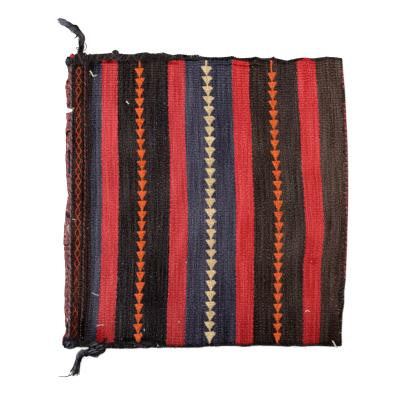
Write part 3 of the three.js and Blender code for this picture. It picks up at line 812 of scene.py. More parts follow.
def add_tassel(side):
    """A loose hank of goat-hair strands along the route, frayed at its end."""
    facts = TASSELS[side]
    seed = facts["seed"]
    rng = np.random.default_rng(seed)
    route = tassel_points(side)
    centre = smooth_path(route, TASSEL_STATIONS)
    root = route[0] + (0, -TASSEL_ROOT[0] * SIGN[side], TASSEL_ROOT[1])
    lead = smooth_path([root, (root + route[0]) / 2, route[0]], 7)[:-1]
    spine = np.vstack([lead, centre])
    across, above = sides_of(spine)
    share = np.concatenate([np.zeros(len(lead)), np.linspace(0, 1, TASSEL_STATIONS)])
    half_width = between(facts["half_widths"], share) * (1 + 0.12 * ragged(share * 60, seed + 1, 6))
    lean = between(facts["leans"], share)
    sway = 0.7 * ragged(share * 60, seed + 2, 9) * smoothstep(share, 0, 0.2) + lean
    half_height = half_width * lerp(0.65, 0.25, smoothstep(share, 0.75, 1))
    side_light_share = smoothstep(share, 0.2, 0.5) * (1 - 0.7 * smoothstep(share, 0.85, 1))
    builder = Builder()
    for strand in range(TASSEL_STRANDS):
        reach = math.sqrt(rng.uniform(0.03, 1))
        angle = rng.uniform(0, TAU) + share * rng.uniform(1.5, 4.5)
        wander = 0.12 * np.sin(share * rng.uniform(10, 30) + rng.uniform(0, TAU))
        fray = facts["frays"] * rng.normal() * smoothstep(share, 0.82, 1)
        sideways = (reach * np.cos(angle) + wander) * half_width + sway + fray
        sideways = np.clip(sideways, -TASSEL_REACH, TASSEL_REACH)
        upwards = (reach * np.sin(angle) + wander) * half_height
        path = spine + across * sideways[:, None] + above * upwards[:, None]
        if strand % 5 >= 3:
            path = path[:int(len(path) * rng.uniform(0.84, 0.98))]
        if strand % 3 == 0:
            tip = path[-1] - path[-4]
            path = np.vstack([path, path[-1] + tip * rng.uniform(0.3, 1.0)])
        fade = np.linspace(0, 1, len(path))
        radius = rng.uniform(0.42, 0.82) * (1 - 0.65 * smoothstep(fade, 0.88, 1))
        # painted light and shade across the hank: one side, and on the right tassel the middle, paler
        off = sideways / half_width
        pale = facts["painted_side_light"] * off + facts["painted_crest_light"] * (0.5 - np.abs(off))
        pale = between(facts["shades"], share) + pale * side_light_share
        shade = rng.choice(STRAND_SHADES) + np.append(pale, pale[-1])[:len(path)]
        builder.tube(off_ground(path, radius), radius, 5, np.clip(shade, 0, 1))
    yarn = builder.piece(f"{side}_tassel_yarn", [facts["hair"]])
    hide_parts(f"{side}_tassel")
    return yarn, centre, (spine + across * lean[:, None])[len(lead):]


def hair(builder, rng, start, direction, length, thickness):
    """One fine fibre that curls away from where it is rooted."""
    s = np.linspace(0, 1, 6)[:, None]
    bend = rng.normal(size=3) * (0.55, 0.55, 0.25)
    path = off_ground(start + length * (s * np.asarray(direction) + s ** 2 * bend), thickness, 0.1)
    builder.tube(path, thickness * (1 - 0.5 * s[:, 0]), 4, rng.uniform(0, 1), up=(0.3, 0.2, 1))


# The left tassel's brush of loose ends: pixels at its root and at both ends of its tip
BRUSH_ROOT, BRUSH_TIP = (78.4, 362.0), np.array(((67.2, 378.4), (79.2, 376.4)))
BRUSH_STRANDS = 34
FUZZ_HAIRS = 130  # on each tassel


def add_brush(builder, rng):
    for _ in range(BRUSH_STRANDS):
        share = rng.uniform(0, 1)
        px, py = BRUSH_ROOT[0] + rng.normal(0, 0.9), BRUSH_ROOT[1] + rng.uniform(0, 4)
        start = np.array((*photo_mm(px, py), 4.0))
        px, py = lerp(*BRUSH_TIP, share) - (0, rng.uniform(0, 2.6))
        end = np.array((*photo_mm(px, py), rng.uniform(0.8, 3.4)))
        bend = (rng.normal(0, 0.9), rng.normal(0, 0.9), rng.uniform(1.5, 3.0))
        path = smooth_path([start, (start + end) / 2 + bend, end], 12)
        builder.tube(path, rng.uniform(0.4, 0.75) * np.linspace(1, 0.55, 12), 5, rng.uniform(0.0, 0.6))


def add_tassel_hairs(side, centre):
    """Fuzz all along a tassel and the strands that stray from it."""
    facts = TASSELS[side]
    rng = np.random.default_rng(facts["seed"] + 50)
    builder = Builder()
    for _ in range(FUZZ_HAIRS):
        index = rng.integers(3, len(centre) - 1)
        angle = rng.uniform(0, TAU)
        direction = np.array((math.cos(angle), math.sin(angle), rng.uniform(-0.2, 0.3)))
        start = centre[index] + direction * 0.8 * between(facts["half_widths"], index / len(centre))
        hair(builder, rng, start, direction, rng.uniform(1.2, 4.0), 0.13)
    for radius, height, shade, pixels in STRAYS[side]:
        path = smooth_path(photo_points((*pixel, height) for pixel in pixels), 18)
        taper = 1 - 0.6 * np.linspace(0, 1, len(path)) ** 3
        builder.tube(path, radius * taper, 6, shade)
    if side == "left":
        add_brush(builder, rng)
    piece = builder.piece(f"{side}_tassel_hairs", [facts["hair"]])
    return piece


# The bow in the left tassel: strands, spread and shade of each bundle, and its pixels with heights
BOW = (
    (26, 1.9, 0.6, ((87.0, 352.4, 5.5), (89.6, 349.4, 6.2), (94.0, 348.0, 7.0), (98.6, 347.8, 7.2),
                     (102.2, 348.2, 6.6), (102.4, 349.8, 5.6), (99.4, 352.0, 5.4), (95.0, 353.4, 5.2))),
    (20, 1.6, 0.3, ((86.6, 352.6, 5.0), (90.6, 351.4, 6.0), (95.8, 351.2, 6.4), (100.6, 350.6, 5.4))),
    (18, 1.5, 0.25, ((86.6, 352.8, 4.6), (89.6, 354.6, 4.4), (93.6, 355.8, 4.4), (96.8, 356.0, 3.6),
                     (95.4, 354.4, 3.4), (91.0, 353.6, 3.6))),
)
BOW_TIE, BOW_TIE_TURNS = (86.4, 352.4), 9


def add_bow():
    """The left tassel's bow: bundles of strands looped back and tied at a waist."""
    rng = np.random.default_rng(31)
    builder = Builder()
    for strands, spread, shade, pixels in BOW:
        spine = smooth_path(photo_points(pixels), 30)
        for _ in range(strands):
            offset = rng.normal(0, 1, 3) * spread * (0.6, 0.6, 0.8)
            wander = 0.35 * np.sin(np.linspace(0, rng.uniform(4, 11), 30) + rng.uniform(0, TAU))
            path = spine + offset + wander[:, None] * (0.5, 1.0, 0.6)
            radius = rng.uniform(0.5, 0.85)
            tone = np.clip(shade + rng.normal(-0.1, 0.4), 0, 1)
            builder.tube(off_ground(path, radius), radius, 5, tone)
    x, y = photo_mm(*BOW_TIE)
    turn = np.linspace(0, TAU, 20)
    for _ in range(BOW_TIE_TURNS):
        lean, shift = rng.normal(0, 0.8), rng.uniform(-1.2, 1.2)
        along = x + shift + lean * np.sin(turn)
        loop = np.stack([along, y + 3.6 * np.cos(turn), 4.9 + 3.8 * np.sin(turn)], axis=1)
        builder.tube(loop, rng.uniform(0.45, 0.65), 5, rng.uniform(0, 0.5), up=(1, 0.2, 0.1))
    return builder.piece("left_tassel_knot", [KNOT_HAIR])


def add_tassels():
    for side in ("right", "left"):
        yarn, centre, middle = add_tassel(side)
        with_pieces = [add_tassel_hairs(side, middle)]
        if side == "left":
            with_pieces.append(add_bow())


# The cloth

SLIT = 110.0  # the worn slit in the mouth edges, as a pixel of y
SLIT_HALF_WIDTHS = (1.6, 3.4)  # at its bottom and at its mouth
LIP_SLIT, MOUTH_SLIT = 9.0, 2.4  # how deep it is in the back panel and in the front panel
# The back panel's mouth edge as pixels (y, x)
LIP_OUTLINE = (
    (50, 67), (58, 66.4), (66, 67.0), (73, 68.6), (77, 67.8), (80, 66), (86, 65), (92, 65.8), (104, 66.6),
    (116, 66), (122, 66.5), (128, 65.2), (146, 66), (158, 65), (170, 65.8), (182, 66.6), (192, 67.2),
    (195, 68.2), (198, 67.4), (206, 66), (218, 65), (230, 63.4), (242, 63.3), (254, 64), (266, 65),
    (278, 65), (290, 64.2), (314, 64.2), (328, 65.4), (333, 65.2), (338, 62.4), (352, 61.8),
)
FOLD_START_U = PANEL_LENGTH - 8  # where the front panel's rows end and the fold's begin
FOLD_MIDDLE_U = PANEL_LENGTH - 6  # the weft on top of the fold
FOLD_WEFTS = 3.0  # how much further the wefts run round the fold
EDGE_ROUND = 0.9  # how far a mouth edge's rounding stands out


def slit_depth(y):
    """The worn slit in the mouth edges, as a share of its depth."""
    return 1 - smoothstep(np.abs(y - photo_mm(0, SLIT)[1]), *SLIT_HALF_WIDTHS)


def lip_edge_x(y):
    """Where the back panel's mouth edge lies at y, worn uneven."""
    edge = photo_mm(between(LIP_OUTLINE, pixel_y(y)), 0)[0]
    return edge + 0.35 * ragged(y, 42, 4.0) + LIP_SLIT * slit_depth(y)


def cloth_rows():
    """Rows of (points, weave marks, how far round) from the front's mouth edge to the back's, for the
    outside and the inside. Both lists start and end with the rows that round these edges."""
    across = np.linspace(0, 1, RIBS * SAMPLES_PER_RIB + 1)
    ribs = rib_profile(across) * RIB_HEIGHT
    rib_number = across * RIBS
    lift, gap, radius = panel_lift(across), pocket_gap(across), fold_radius(across)
    fold_start = fold_x(across) - radius
    mouth_y = cloth_y(FRONT_MOUTH, across)
    mouth_wear = 0.5 * ragged(mouth_y, 41, 6.0) + MOUTH_SLIT * slit_depth(mouth_y)
    lip_x = lip_edge_x(mouth_y)

    def row(x, z, u, way):
        y = cloth_y(x, across)
        for side, from_seam in (("right", across), ("left", 1 - across)):
            grown = cloth_edge(side, x) - seam_edge(side, x)
            y += SIGN[side] * grown * (1 - smoothstep(from_seam * FABRIC_WIDTH, 0, 40))
        points = np.stack([x, y, z], axis=1)
        marks = np.stack([np.broadcast_to(u, across.shape), rib_number, 0 * across], axis=1)
        return points, marks, way

    def front(u, height, rise):
        x = front_x(u, across) + mouth_wear * (1 - smoothstep(u, 0, 9))
        # the panel bends into the fold before it reaches its full length
        x = np.minimum(x, lerp(x, fold_start, smoothstep(u, PANEL_LENGTH - 60, FOLD_START_U)))
        return row(x, lift + height + slack(x, cloth_y(x, across)) + rise, u, u / PANEL_LENGTH)

    def fold(degrees, inset, rise):
        angle = math.radians(degrees)
        reach = radius - inset + rise
        x = fold_start + reach * math.cos(angle)
        z = np.maximum(lift + radius + reach * math.sin(angle), 0.0)
        return row(x, z, FOLD_MIDDLE_U + FOLD_WEFTS * math.cos(angle), 1 + (90 - degrees) / 180)

    def back(share, height, rise):
        x = lerp(fold_start, lip_x, share)
        u = np.where(x > FRONT_MOUTH, np.maximum(FOLD_MIDDLE_U - (fold_start - x), 0.5), x - FRONT_MOUTH)
        return row(x, lift + height + rise, u, 2 + share)

    top = CLOTH_THICKNESS + gap
    back_shares = np.concatenate([np.linspace(0.03, 0.93, 18), np.linspace(0.945, 1.0, 7)])
    outside = [front(u, top + CLOTH_THICKNESS, ribs) for u in np.linspace(0, FOLD_START_U, 132)]
    outside += [fold(degrees, 0, ribs * 0.9) for degrees in np.linspace(90, -90, 11)]
    outside += [back(share, 0.0, ribs * 0.5) for share in back_shares]
    inside = [front(u, top, -ribs * 0.3) for u in np.linspace(0, FOLD_START_U, 12)]
    inside += [fold(degrees, CLOTH_THICKNESS, 0) for degrees in np.linspace(90, -90, 5)]
    inside += [back(share, CLOTH_THICKNESS, ribs * 0.6) for share in back_shares[2:]]

    # Each mouth edge is rounded by a row that stands out between the two faces
    def edge(face, lining, way):
        return (face[0] + lining[0]) / 2 - (EDGE_ROUND, 0, 0), face[1] - (0.6, 0, 0), way

    mouth_edge = edge(outside[0], inside[0], -0.1)
    lip_edge = edge(outside[-1], inside[-1], 3.1)
    return [mouth_edge, *outside, lip_edge], [mouth_edge, *inside, lip_edge]


def zip_faces(a, a_way, b, b_way):
    """Triangles between two lines of vertices that run side by side, each with its way along."""
    faces, i, j = [], 0, 0
    while i < len(a) - 1 or j < len(b) - 1:
        next_a = a_way[i + 1] if i < len(a) - 1 else math.inf
        next_b = b_way[j + 1] if j < len(b) - 1 else math.inf
        if next_a <= next_b:
            faces.append((a[i], a[i + 1], b[j]))
            i += 1
        else:
            faces.append((a[i], b[j + 1], b[j]))
            j += 1
    return faces


def add_cloth(material):
    outside, inside = cloth_rows()
    loop = outside[1:] + inside[-2::-1]
    width = RIBS * SAMPLES_PER_RIB + 1
    faces = []
    for k in range(len(loop)):
        a, b = k * width, (k + 1) % len(loop) * width
        faces.extend((a + j, b + j, b + j + 1, a + j + 1) for j in range(width - 1))
    # the sides are closed between the outside's rows and the inside's, which share their first and last
    last = len(loop) - 1
    outer = np.array([last, *range(len(outside) - 1)]) * width
    inner = np.arange(last, len(outside) - 3, -1) * width
    outer_ways, inner_ways = ([row[2] for row in rows] for rows in (outside, inside))
    for column, flip in ((0, False), (width - 1, True)):
        for a, b, c in zip_faces(outer + column, outer_ways, inner + column, inner_ways):
            if len({a, b, c}) == 3:
                faces.append((a, c, b) if flip else (a, b, c))
    builder = Builder()
    builder.add(np.concatenate([row[0] for row in loop]), np.concatenate([row[1] for row in loop]), faces)
    cloth = builder.piece("woven_cloth", [material], "weave")
    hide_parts("woven_body")
    return cloth


# Brocaded chains of triangles

# A triangle's outline in pixels from the middle of its base, with y towards the left seam
TRIANGLE = (
    (-5.5, 0.3), (-2.9, 0.0), (-0.9, -0.1), (0.9, -0.3), (3.1, -0.4), (5.5, 0.2), (4.5, 2.2), (3.4, 3.9),
    (2.1, 6.2), (0.8, 8.7), (0.7, 10.3), (-0.7, 10.3), (-0.8, 8.7), (-2.2, 6.2), (-3.7, 3.6),
)
CHAINS = (
    # name, yarn, base lines as (number, pixel of y), middle line as pixels (y, x), width, droop
    # of the tip on the fold's side
    ("orange_chain_near_mouth", ORANGE_YARN,
     ((0, 68.3), (5, 118.8), (10, 170.8), (13, 201.0), (16, 231.3), (20, 272.2), (23, 304.3), (26, 334.4)),
     ((66, 139.7), (106, 139.7), (146, 140.6), (170, 142.2), (206, 142.2), (246, 141.1), (286, 140.1),
      (326, 138.0)),
     0.84, -0.3),
    ("cream_chain", CREAM_YARN,
     ((0, 66.2), (5, 116.5), (10, 168.5), (13, 198.7), (16, 229.5), (20, 269.8), (23, 301.8), (26, 331.8)),
     ((66, 206.2), (86, 207.5), (106, 209.0), (126, 209.8), (206, 210.5), (266, 211.5), (306, 210.5),
      (346, 209.6)),
     1.03, 1.5),
    ("orange_chain_near_fold", ORANGE_YARN,
     ((0, 71.9), (5, 120.0), (10, 170.5), (13, 201.2), (16, 233.2), (20, 272.8), (23, 303.9), (26, 333.4)),
     ((66, 271.5), (106, 273.3), (146, 274.8), (186, 278.0), (226, 279.1), (266, 278.3), (306, 277.9),
      (346, 277.7)),
     0.86, 0.1),
)
TRIANGLES = 27
TRIANGLE_PITCH = 10.1
MOTIF_NECK = 1.2  # points nearer to the middle than this are the neck's
CHAIN_START, CHAIN_END = 61.0, 344.0
STEM_KNOTS = 8
STEM_KNOT = np.array(((-1, 0.7), (0, 1.1), (1, 0.7), (1, -0.7), (0, -1.1), (-1, -0.7)))
PATCH_RELIEF = 0.5
PATCH_RINGS = ((1.0, -0.5), (0.97, 0.12), (0.8, 0.85), (0.4, 1.0))  # share of the outline, of the relief


def raised_patch(builder, outline, shade):
    """A patch of yarn that stands off the front panel, from its outline in millimetres."""
    outline = np.asarray(outline, float)
    middle = outline.mean(axis=0)
    points = []
    for scale, share in PATCH_RINGS:
        ring = middle + (outline - middle) * scale
        rib_share = 0.55 + 0.45 * rib_profile(across_at(*ring.T))
        points.append(np.column_stack([ring, front_height(*ring.T, rib_share) + PATCH_RELIEF * share]))
    points.append([[*middle, front_height(*middle, 0.9) + PATCH_RELIEF]])
    points = np.concatenate(points)
    marks = points.copy()
    marks[:, 2] = shade
    count = len(outline)
    last = (len(PATCH_RINGS) - 1) * count
    faces = [face[::-1] for face in ring_faces(len(PATCH_RINGS), count)]
    faces.extend((last + (j + 1) % count, last + j, last + count) for j in range(count))
    faces.append(tuple(range(count)))
    builder.add(points, marks, faces)


def add_chains():
    pieces = []
    for index, (name, yarn, bases, line, width, droop) in enumerate(CHAINS):
        rng = np.random.default_rng(61 + index)
        builder = Builder()
        starts = between(bases, np.arange(TRIANGLES)) + rng.normal(0, 0.2, TRIANGLES)
        for base, end in zip(starts, np.append(starts[1:], CHAIN_END)):
            lean = rng.normal(0, 0.2)
            size = width * rng.uniform(0.94, 1.06)
            outline = []
            for dx, dy in TRIANGLE:
                y = base + (dy + droop * smoothstep(dx, 3.2, 5.4)) * (end - base) / TRIANGLE_PITCH
                x = between(line, y) + dx * (size if abs(dx) > MOTIF_NECK else 1.0)
                x += lean * (1 - dy / TRIANGLE_PITCH)
                outline.append(photo_mm(x + rng.normal(0, 0.12), y + rng.normal(0, 0.1)))
            raised_patch(builder, outline, rng.uniform(0.35, 0.7))
        stem = [photo_mm(between(line, y) + rng.normal(0, 0.1), y)
                for y in np.linspace(CHAIN_START, starts[0] + 1, STEM_KNOTS)]
        for middle, half in zip(stem, rng.uniform(1.0, 1.6, STEM_KNOTS)):
            raised_patch(builder, middle + half * STEM_KNOT, rng.uniform(0.2, 0.8))
        pieces.append(builder.piece(name, [yarn]))
    return pieces


# The band at the front panel's mouth

# The diamonds' middles as (number, pixel of y) and their line as pixels (y, x)
DIAMOND_MIDDLES = (
    (0, 71.2), (5, 120.2), (10, 171.2), (13, 201.4), (16, 233.2), (20, 273.8), (23, 304.8), (26, 333.4),
)
DIAMOND_LINE = ((68, 78.6), (150, 78.7), (210, 78.1), (250, 77.5), (290, 76.5), (314, 75.2), (335, 74.0))
DIAMONDS = 27
DIAMOND_REPEAT = 9.5  # in pixels, at both ends of the chain
DIAMOND_HALF_WIDTH = 2.15
DIAMOND_HALF_LENGTH = 0.39  # as a share of one repeat, the rest is the stem between two diamonds
DIAMOND_LINK = 0.3  # each yarn's distance from the middle along the stem
DIAMOND_SHARES = (0, 0.05, 0.1, 0.2, 0.3, 0.4, 0.5, 0.6, 0.7, 0.8, 0.9, 0.95)
OPEN_DIAMONDS = {(3, 1): (0.08, 0.45), (13, -1): (0.4, 0.6)}  # by number and side, where a yarn is gone


def add_diamonds():
    """Two yarns that part and meet down the middle of the brown band."""
    rng = np.random.default_rng(71)
    builder = Builder()
    links = between(DIAMOND_MIDDLES, np.arange(DIAMONDS + 1) - 0.5)
    links[0], links[-1] = links[1] - DIAMOND_REPEAT, links[-2] + DIAMOND_REPEAT
    for side in (1, -1):
        runs, run = [], []
        for k in range(DIAMONDS):
            wide = DIAMOND_HALF_WIDTH * rng.uniform(0.9, 1.1)
            gone_from, gone_to = OPEN_DIAMONDS.get((k, side), (2, 2))
            for share in DIAMOND_SHARES:
                if gone_from < share < gone_to:
                    if run:
                        runs.append(run)
                    run = []
                    continue
                y = lerp(links[k], links[k + 1], share)
                out = DIAMOND_LINK + wide * max(1 - (abs(share - 0.5) / DIAMOND_HALF_LENGTH) ** 1.5, 0)
                x, y = photo_mm(between(DIAMOND_LINE, y) + side * out + rng.normal(0, 0.08), y)
                run.append((x, y, float(front_height(x, y, 1.0)) + 0.1))
        runs.append(run)
        for run in runs:
            path = smooth_path(run, len(run) * 3)
            pixel = pixel_y(path[:, 1])
            shade = 0.64 - 0.38 * smoothstep(pixel, 235, 340) + 0.12 * ragged(path[:, 1], 72 + side, 9)
            radius = 0.52 - 0.1 * smoothstep(pixel, 250, 340)
            builder.tube(path, radius, 6, np.clip(shade, 0, 1), flat=0.8)
    return builder.piece("diamond_chain", [DIAMOND_YARN])


def twined(builder, line, pitch, reach, radius, slots, seed):
    """Two yarns twisted unevenly round each other along a line of points."""
    length = lengths_along(line)
    sideways, above = sides_of(line)
    for k, slot in enumerate(slots):
        angle = TAU * length / pitch + math.pi * k + 0.8 * ragged(length - 200, seed, 11)
        path = line + reach * (sideways * np.cos(angle)[:, None] + above * np.sin(angle)[:, None])
        builder.tube(path, radius, 6, 0.3 + 0.4 * k, slot)


# Middle lines of the cord on the mouth edge and of the twined row, as pixels (y, x)
MOUTH_CORD_LINE = (
    (60, 71.0), (88, 71.3), (120, 71.8), (165, 71.3), (205, 70.9), (245, 70.3), (295, 69.8), (340, 69.0),
)
TWINED_ROW_LINE = (
    (60, 84.8), (120, 85.0), (165, 85.2), (210, 84.7), (245, 84.0), (295, 83.0), (315, 81.8), (328, 80.6),
    (344, 79.4),
)
TWINED_ROWS = (
    # line, pixels to its right, lift over the ribs, sinking by the left seam, turn, reach, yarn radius,
    # wear at the slit, yarns
    (MOUTH_CORD_LINE, 0.0, -0.5, 0.0, 9.0, 0.6, 0.9, MOUTH_SLIT, (0, 1)),
    (TWINED_ROW_LINE, 0.0, -0.4, 1.0, 7.4, 0.95, 0.68, 0.0, (2, 3)),
    (TWINED_ROW_LINE, 2.5, -0.45, 1.6, 7.2, 0.8, 0.56, 0.0, (4, 5)),
)
TWINING_YARNS = [GREY_YARN, PINK_YARN, DIM_GREY_YARN, DIM_PINK_YARN, DARK_RED_YARN, GOAT_HAIR]


def add_twining():
    builder = Builder()
    y = np.linspace(200, -200, 440)
    for index, (line, shift, lift, sinking, turn, reach, radius, wear, slots) in enumerate(TWINED_ROWS):
        x = photo_mm(between(line, pixel_y(y)) + shift, 0)[0]
        x += 0.3 * ragged(y, 850 + index, 14) + wear * slit_depth(y)
        z = front_height(np.maximum(x, FRONT_MOUTH), y, 0.8) + lift - sinking * smoothstep(-y, 140, 180)
        twined(builder, np.stack([x, y, z], axis=1), turn, reach, radius, slots, 860 + index)
    return builder.piece("band_twining", TWINING_YARNS)


# The fold's beaded row: its line as pixels (y, x), and stretches of it as pixels of y with a size
FOLD_ROW_LINE = (
    (66, 342.4), (86, 343.4), (104, 344.6), (125, 345.3), (137, 346.1), (160, 346.7), (240, 346.6),
    (255, 345.9), (284, 344.3),
)
FOLD_ROW = ((71.8, 88.0, 1.0), (104.0, 213.0, 1.0), (213.0, 282.0, 0.75))
FOLD_BEAD_STEP = 4.95 / 2  # between a red bead and a slate one
FOLD_BEAD_SWELL = np.array((0.35, 0.8, 1.0, 0.95, 0.75, 0.3))


def add_fold_twining():
    """Two yarns twined along the outside of the fold, seen as beads of red and slate."""
    rng = np.random.default_rng(77)
    builder = Builder()
    for first, last, size in FOLD_ROW:
        for index, py in enumerate(np.arange(first, last, FOLD_BEAD_STEP)):
            red = index % 2 == 0
            half = (1.35 if red else 1.1) * rng.uniform(0.9, 1.1)
            pixels_y = py + np.linspace(-half, half, 6)
            pixels_x = between(FOLD_ROW_LINE, py) + np.linspace(-0.35, 0.35, 6) + rng.normal(0, 0.15)
            x, y = photo_mm(pixels_x, pixels_y)
            across = across_at(x, y)
            radius = fold_radius(across)
            reach = radius + RIB_HEIGHT * 0.7
            lean = np.clip((x - fold_x(across) + radius) / reach, 0, 0.97)
            z = panel_lift(across) + radius + reach * np.sqrt(1 - lean ** 2)
            thick = FOLD_BEAD_SWELL * size * (1.35 if red else 1.05)
            builder.tube(np.stack([x, y, z], axis=1), thick, 7, rng.uniform(0.3, 0.9), 0 if red else 1)
    return builder.piece("fold_twining", [BEAD_RED_YARN, SLATE_YARN])


# Wool wound over the seams and corners

# How far the wool reaches over the cloth, by millimetres along the seam
SEAM_COVERS = {
    "right": ((-200, 12), (-168, 13), (-150, 11), (-146, 6.6), (-122, 6.6), (-118, 8), (-60, 7.5),
              (-52, 5.2), (-44, 3.4), (-40, 1.8), (-24, 1.6), (-10, 2.4), (-2, 5), (12, 5), (18, 3.2),
              (200, 3)),
    "left": ((-201, 4), (-197, 10), (-188, 13), (-180, 8), (-170, 5.4), (-110, 4.5), (-70, 3.6), (-40, 3.2),
             (200, 3)),
}
STRAND_POINTS = 14
STRAND_DIP = np.array([1.4, *[0.0] * (STRAND_POINTS - 2), 1.4])  # a strand's ends sink into the wool


def wrap_path(side, x, slant, cover, lift, radius):
    """One turn over a seam at x, from the front panel's face round the edge to the back panel."""
    top, bottom = SEAM_TOP + CLEARANCE, SEAM_LIFT - 0.1
    lumps = 0.5 * float(ragged(x, 88, 9.0)) * (1 - float(bareness(side, x)))
    out = max(float(outline_y(side, x) - cloth_edge(side, x)) + lumps - 0.7 * radius, 0.4)
    section = (  # out from the cloth's edge, height, share of the turn
        (-cover, top - 0.7, 0.0), (-0.8 * cover, top + 0.8 * radius + 0.6 * lift, 0.08),
        (-0.4 * cover, top + radius + lift, 0.22), (0.2, top + 0.8 * radius + 0.8 * lift, 0.38),
        (out, top - 1.8, 0.46), (out, bottom + 1.4, 0.54), (0.2, bottom - 0.8 * radius, 0.64),
        (-0.4 * cover, bottom - radius, 0.8), (-cover, bottom - 0.2, 1.0),
    )
    points = []
    for offset, z, turn in section:
        place = x + slant * (turn - 0.4)
        y = SIGN[side] * (float(cloth_edge(side, place)) + offset)
        points.append((place, y, max(z, radius + 0.05)))
    return smooth_path(points, 15)


def in_gap(side, x):
    """Whether the seam's edge shows no yarn at x."""
    pixel = pixel_x(x)
    return sum((first < pixel) & (pixel < last) for first, last in SEAM_GAPS[side]) > 0


def add_seam(name, side, start, end, thickness, spacing, seed, material, node):
    """A stretch of a seam overcast with yarn, close and thick or thin and far between."""
    rng = np.random.default_rng(seed)
    builder = Builder()
    x = start
    while x < end:
        bare = float(bareness(side, x))
        cover = float(between(SEAM_COVERS[side], x)) * rng.uniform(0.6, 1.3)
        radius = thickness * rng.uniform(0.8, 1.2) * (1 - 0.25 * bare)
        lift = abs(rng.normal(0, 0.6)) * (1 - 0.7 * bare)
        path = wrap_path(side, x, rng.normal(4.0, 1.6), max(cover, 0.6), lift, radius)
        if not in_gap(side, x):
            builder.tube(path, radius, 6, rng.uniform(0, 1), up=(1, 0, 0))
        x += spacing * rng.uniform(0.7, 1.3) * (1 + 0.9 * bare)
    # strands that run along the seam, over the turns or at the cloth's edge
    for _ in range(int((end - start) / 3)):
        first, length = rng.uniform(start, end - 8), rng.uniform(14, 34)
        along = np.linspace(first, min(first + length, end), STRAND_POINTS)
        bare = bareness(side, along)
        cover = between(SEAM_COVERS[side], along)
        sway = -0.35 * cover + 0.6 * cover * np.sin(along / rng.uniform(2.5, 5) + rng.uniform(0, TAU))
        y = SIGN[side] * (cloth_edge(side, along) + lerp(sway, rng.uniform(-1.5, 0.3), bare))
        z = SEAM_TOP + CLEARANCE + 2 * thickness + rng.uniform(0.0, 0.6) - STRAND_DIP
        z -= 0.6 * smoothstep(sway, -1.5, 1.5)
        z = lerp(z, SEAM_TOP + rng.uniform(0.6, 1.6), bare) - 3.0 * in_gap(side, along)
        radius = thickness * rng.uniform(0.6, 0.9) * (1 - 0.3 * bare)
        builder.tube(np.stack([along, y, z], axis=1), radius, 6, rng.uniform(0, 1))
    piece = builder.piece(name, [material])
    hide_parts(node)
    return piece


SEAMS = (
    # side, where its corner begins, its binding begins and its binding ends, the wool of both, seed
    ("right", (-189.0, -168.0, 192.5), (GOAT_HAIR, GOAT_HAIR), 81),
    ("left", (-198.0, -184.0, 191.5), (BLUE_BLACK, SEAM_BLACK), 83),
)
CORNER_YARN, BINDING_YARN = (0.95, 1.5), (0.85, 1.6)  # yarn radius, spacing of its turns
SEAM_HAIRS = 300  # on each seam

# Knots and tangles of wool on the seams: pixels x and y, size in millimetres, loops, yarn radius, the
# yarn's number and how much paler than its shades it is
KNOTS = (
    (115.2, 52.3, 5.0, 24, 0.7, 2, 0.45), (232.2, 57.8, 2.2, 12, 0.5, 2, 0),
    (256.6, 59.0, 2.0, 12, 0.5, 2, 0), (273.6, 58.2, 3.3, 14, 0.55, 2, 0),
    (76.5, 58.6, 5.4, 26, 0.55, 2, 0), (84.0, 59.0, 5.6, 30, 0.55, 2, 0),
    (91.5, 58.6, 5.0, 26, 0.55, 2, 0), (98.5, 58.4, 4.4, 22, 0.55, 2, 0),
    (67.4, 344.2, 6.2, 46, 0.7, 3, 0), (73.4, 343.6, 4.4, 20, 0.7, 3, 0),
    (94.0, 344.6, 4.0, 16, 0.7, 3, 0), (101.0, 344.8, 4.0, 16, 0.7, 3, 0),
)
KNOT_SHADES = (0.0, 0.05, 0.15, 0.3, 0.6, 1.0)
# The thick loop at the right corner: its middle and half sizes in pixels, and its turns as (scale, height)
CORNER_LOOP, CORNER_LOOP_HALF = (67.5, 61.5), (1.9, 3.3)
CORNER_LOOP_TURNS = ((1.0, 8.6), (0.55, 9.2), (1.05, 6.0), (0.9, 3.8))
# The red yarn end there, as pixels with heights, and its radii
YARN_END = ((73.4, 57.0, 11.4), (71.8, 56.0, 12.0), (69.8, 54.7, 11.0))
YARN_END_RADII = (1.7, 1.9, 2.1, 2.2, 2.2, 2.1, 1.8, 1.0)


def add_knots():
    """The thick loop and the red yarn end at the right corner, and the knots in both seams."""
    rng = np.random.default_rng(85)
    builder = Builder()
    turn = np.linspace(0, TAU, 22)
    for scale, height in CORNER_LOOP_TURNS:
        across, down = scale * np.array(CORNER_LOOP_HALF)
        x, y = photo_mm(CORNER_LOOP[0] + across * np.cos(turn), CORNER_LOOP[1] + down * np.sin(turn))
        loop = np.stack([x, y, height + 0.6 * np.cos(turn)], axis=1)
        builder.tube(loop, 1.35, 7, rng.uniform(0.6, 1.0))
    builder.tube(smooth_path(photo_points(YARN_END), len(YARN_END_RADII)), YARN_END_RADII, 8, 0.6, slot=1)
    for px, py, size, loops, radius, slot, paler in KNOTS:
        middle = np.array((*photo_mm(px, py), SEAM_TOP - 0.6))
        for _ in range(loops):
            tilt, lean = rng.uniform(0, TAU), rng.uniform(-0.7, 0.7)
            out = np.array((math.cos(tilt), math.sin(tilt), 0))
            aside = np.array((-math.sin(tilt), math.cos(tilt), 0))
            ring = np.cos(turn)[:, None] * out + np.sin(turn)[:, None] * (0, 0, 1) + lean * aside
            ring = middle + unit(ring) * size * rng.uniform(0.75, 1.0) * (1.0, 0.85, 0.65)
            shade = min(rng.choice(KNOT_SHADES) + paler, 1.0)
            builder.tube(ring, radius, 5, shade, slot, up=(0.3, 0.1, 1))
    return builder.piece("seam_knots", [BLUE_BLACK, RED_YARN, GOAT_HAIR, KNOT_HAIR])


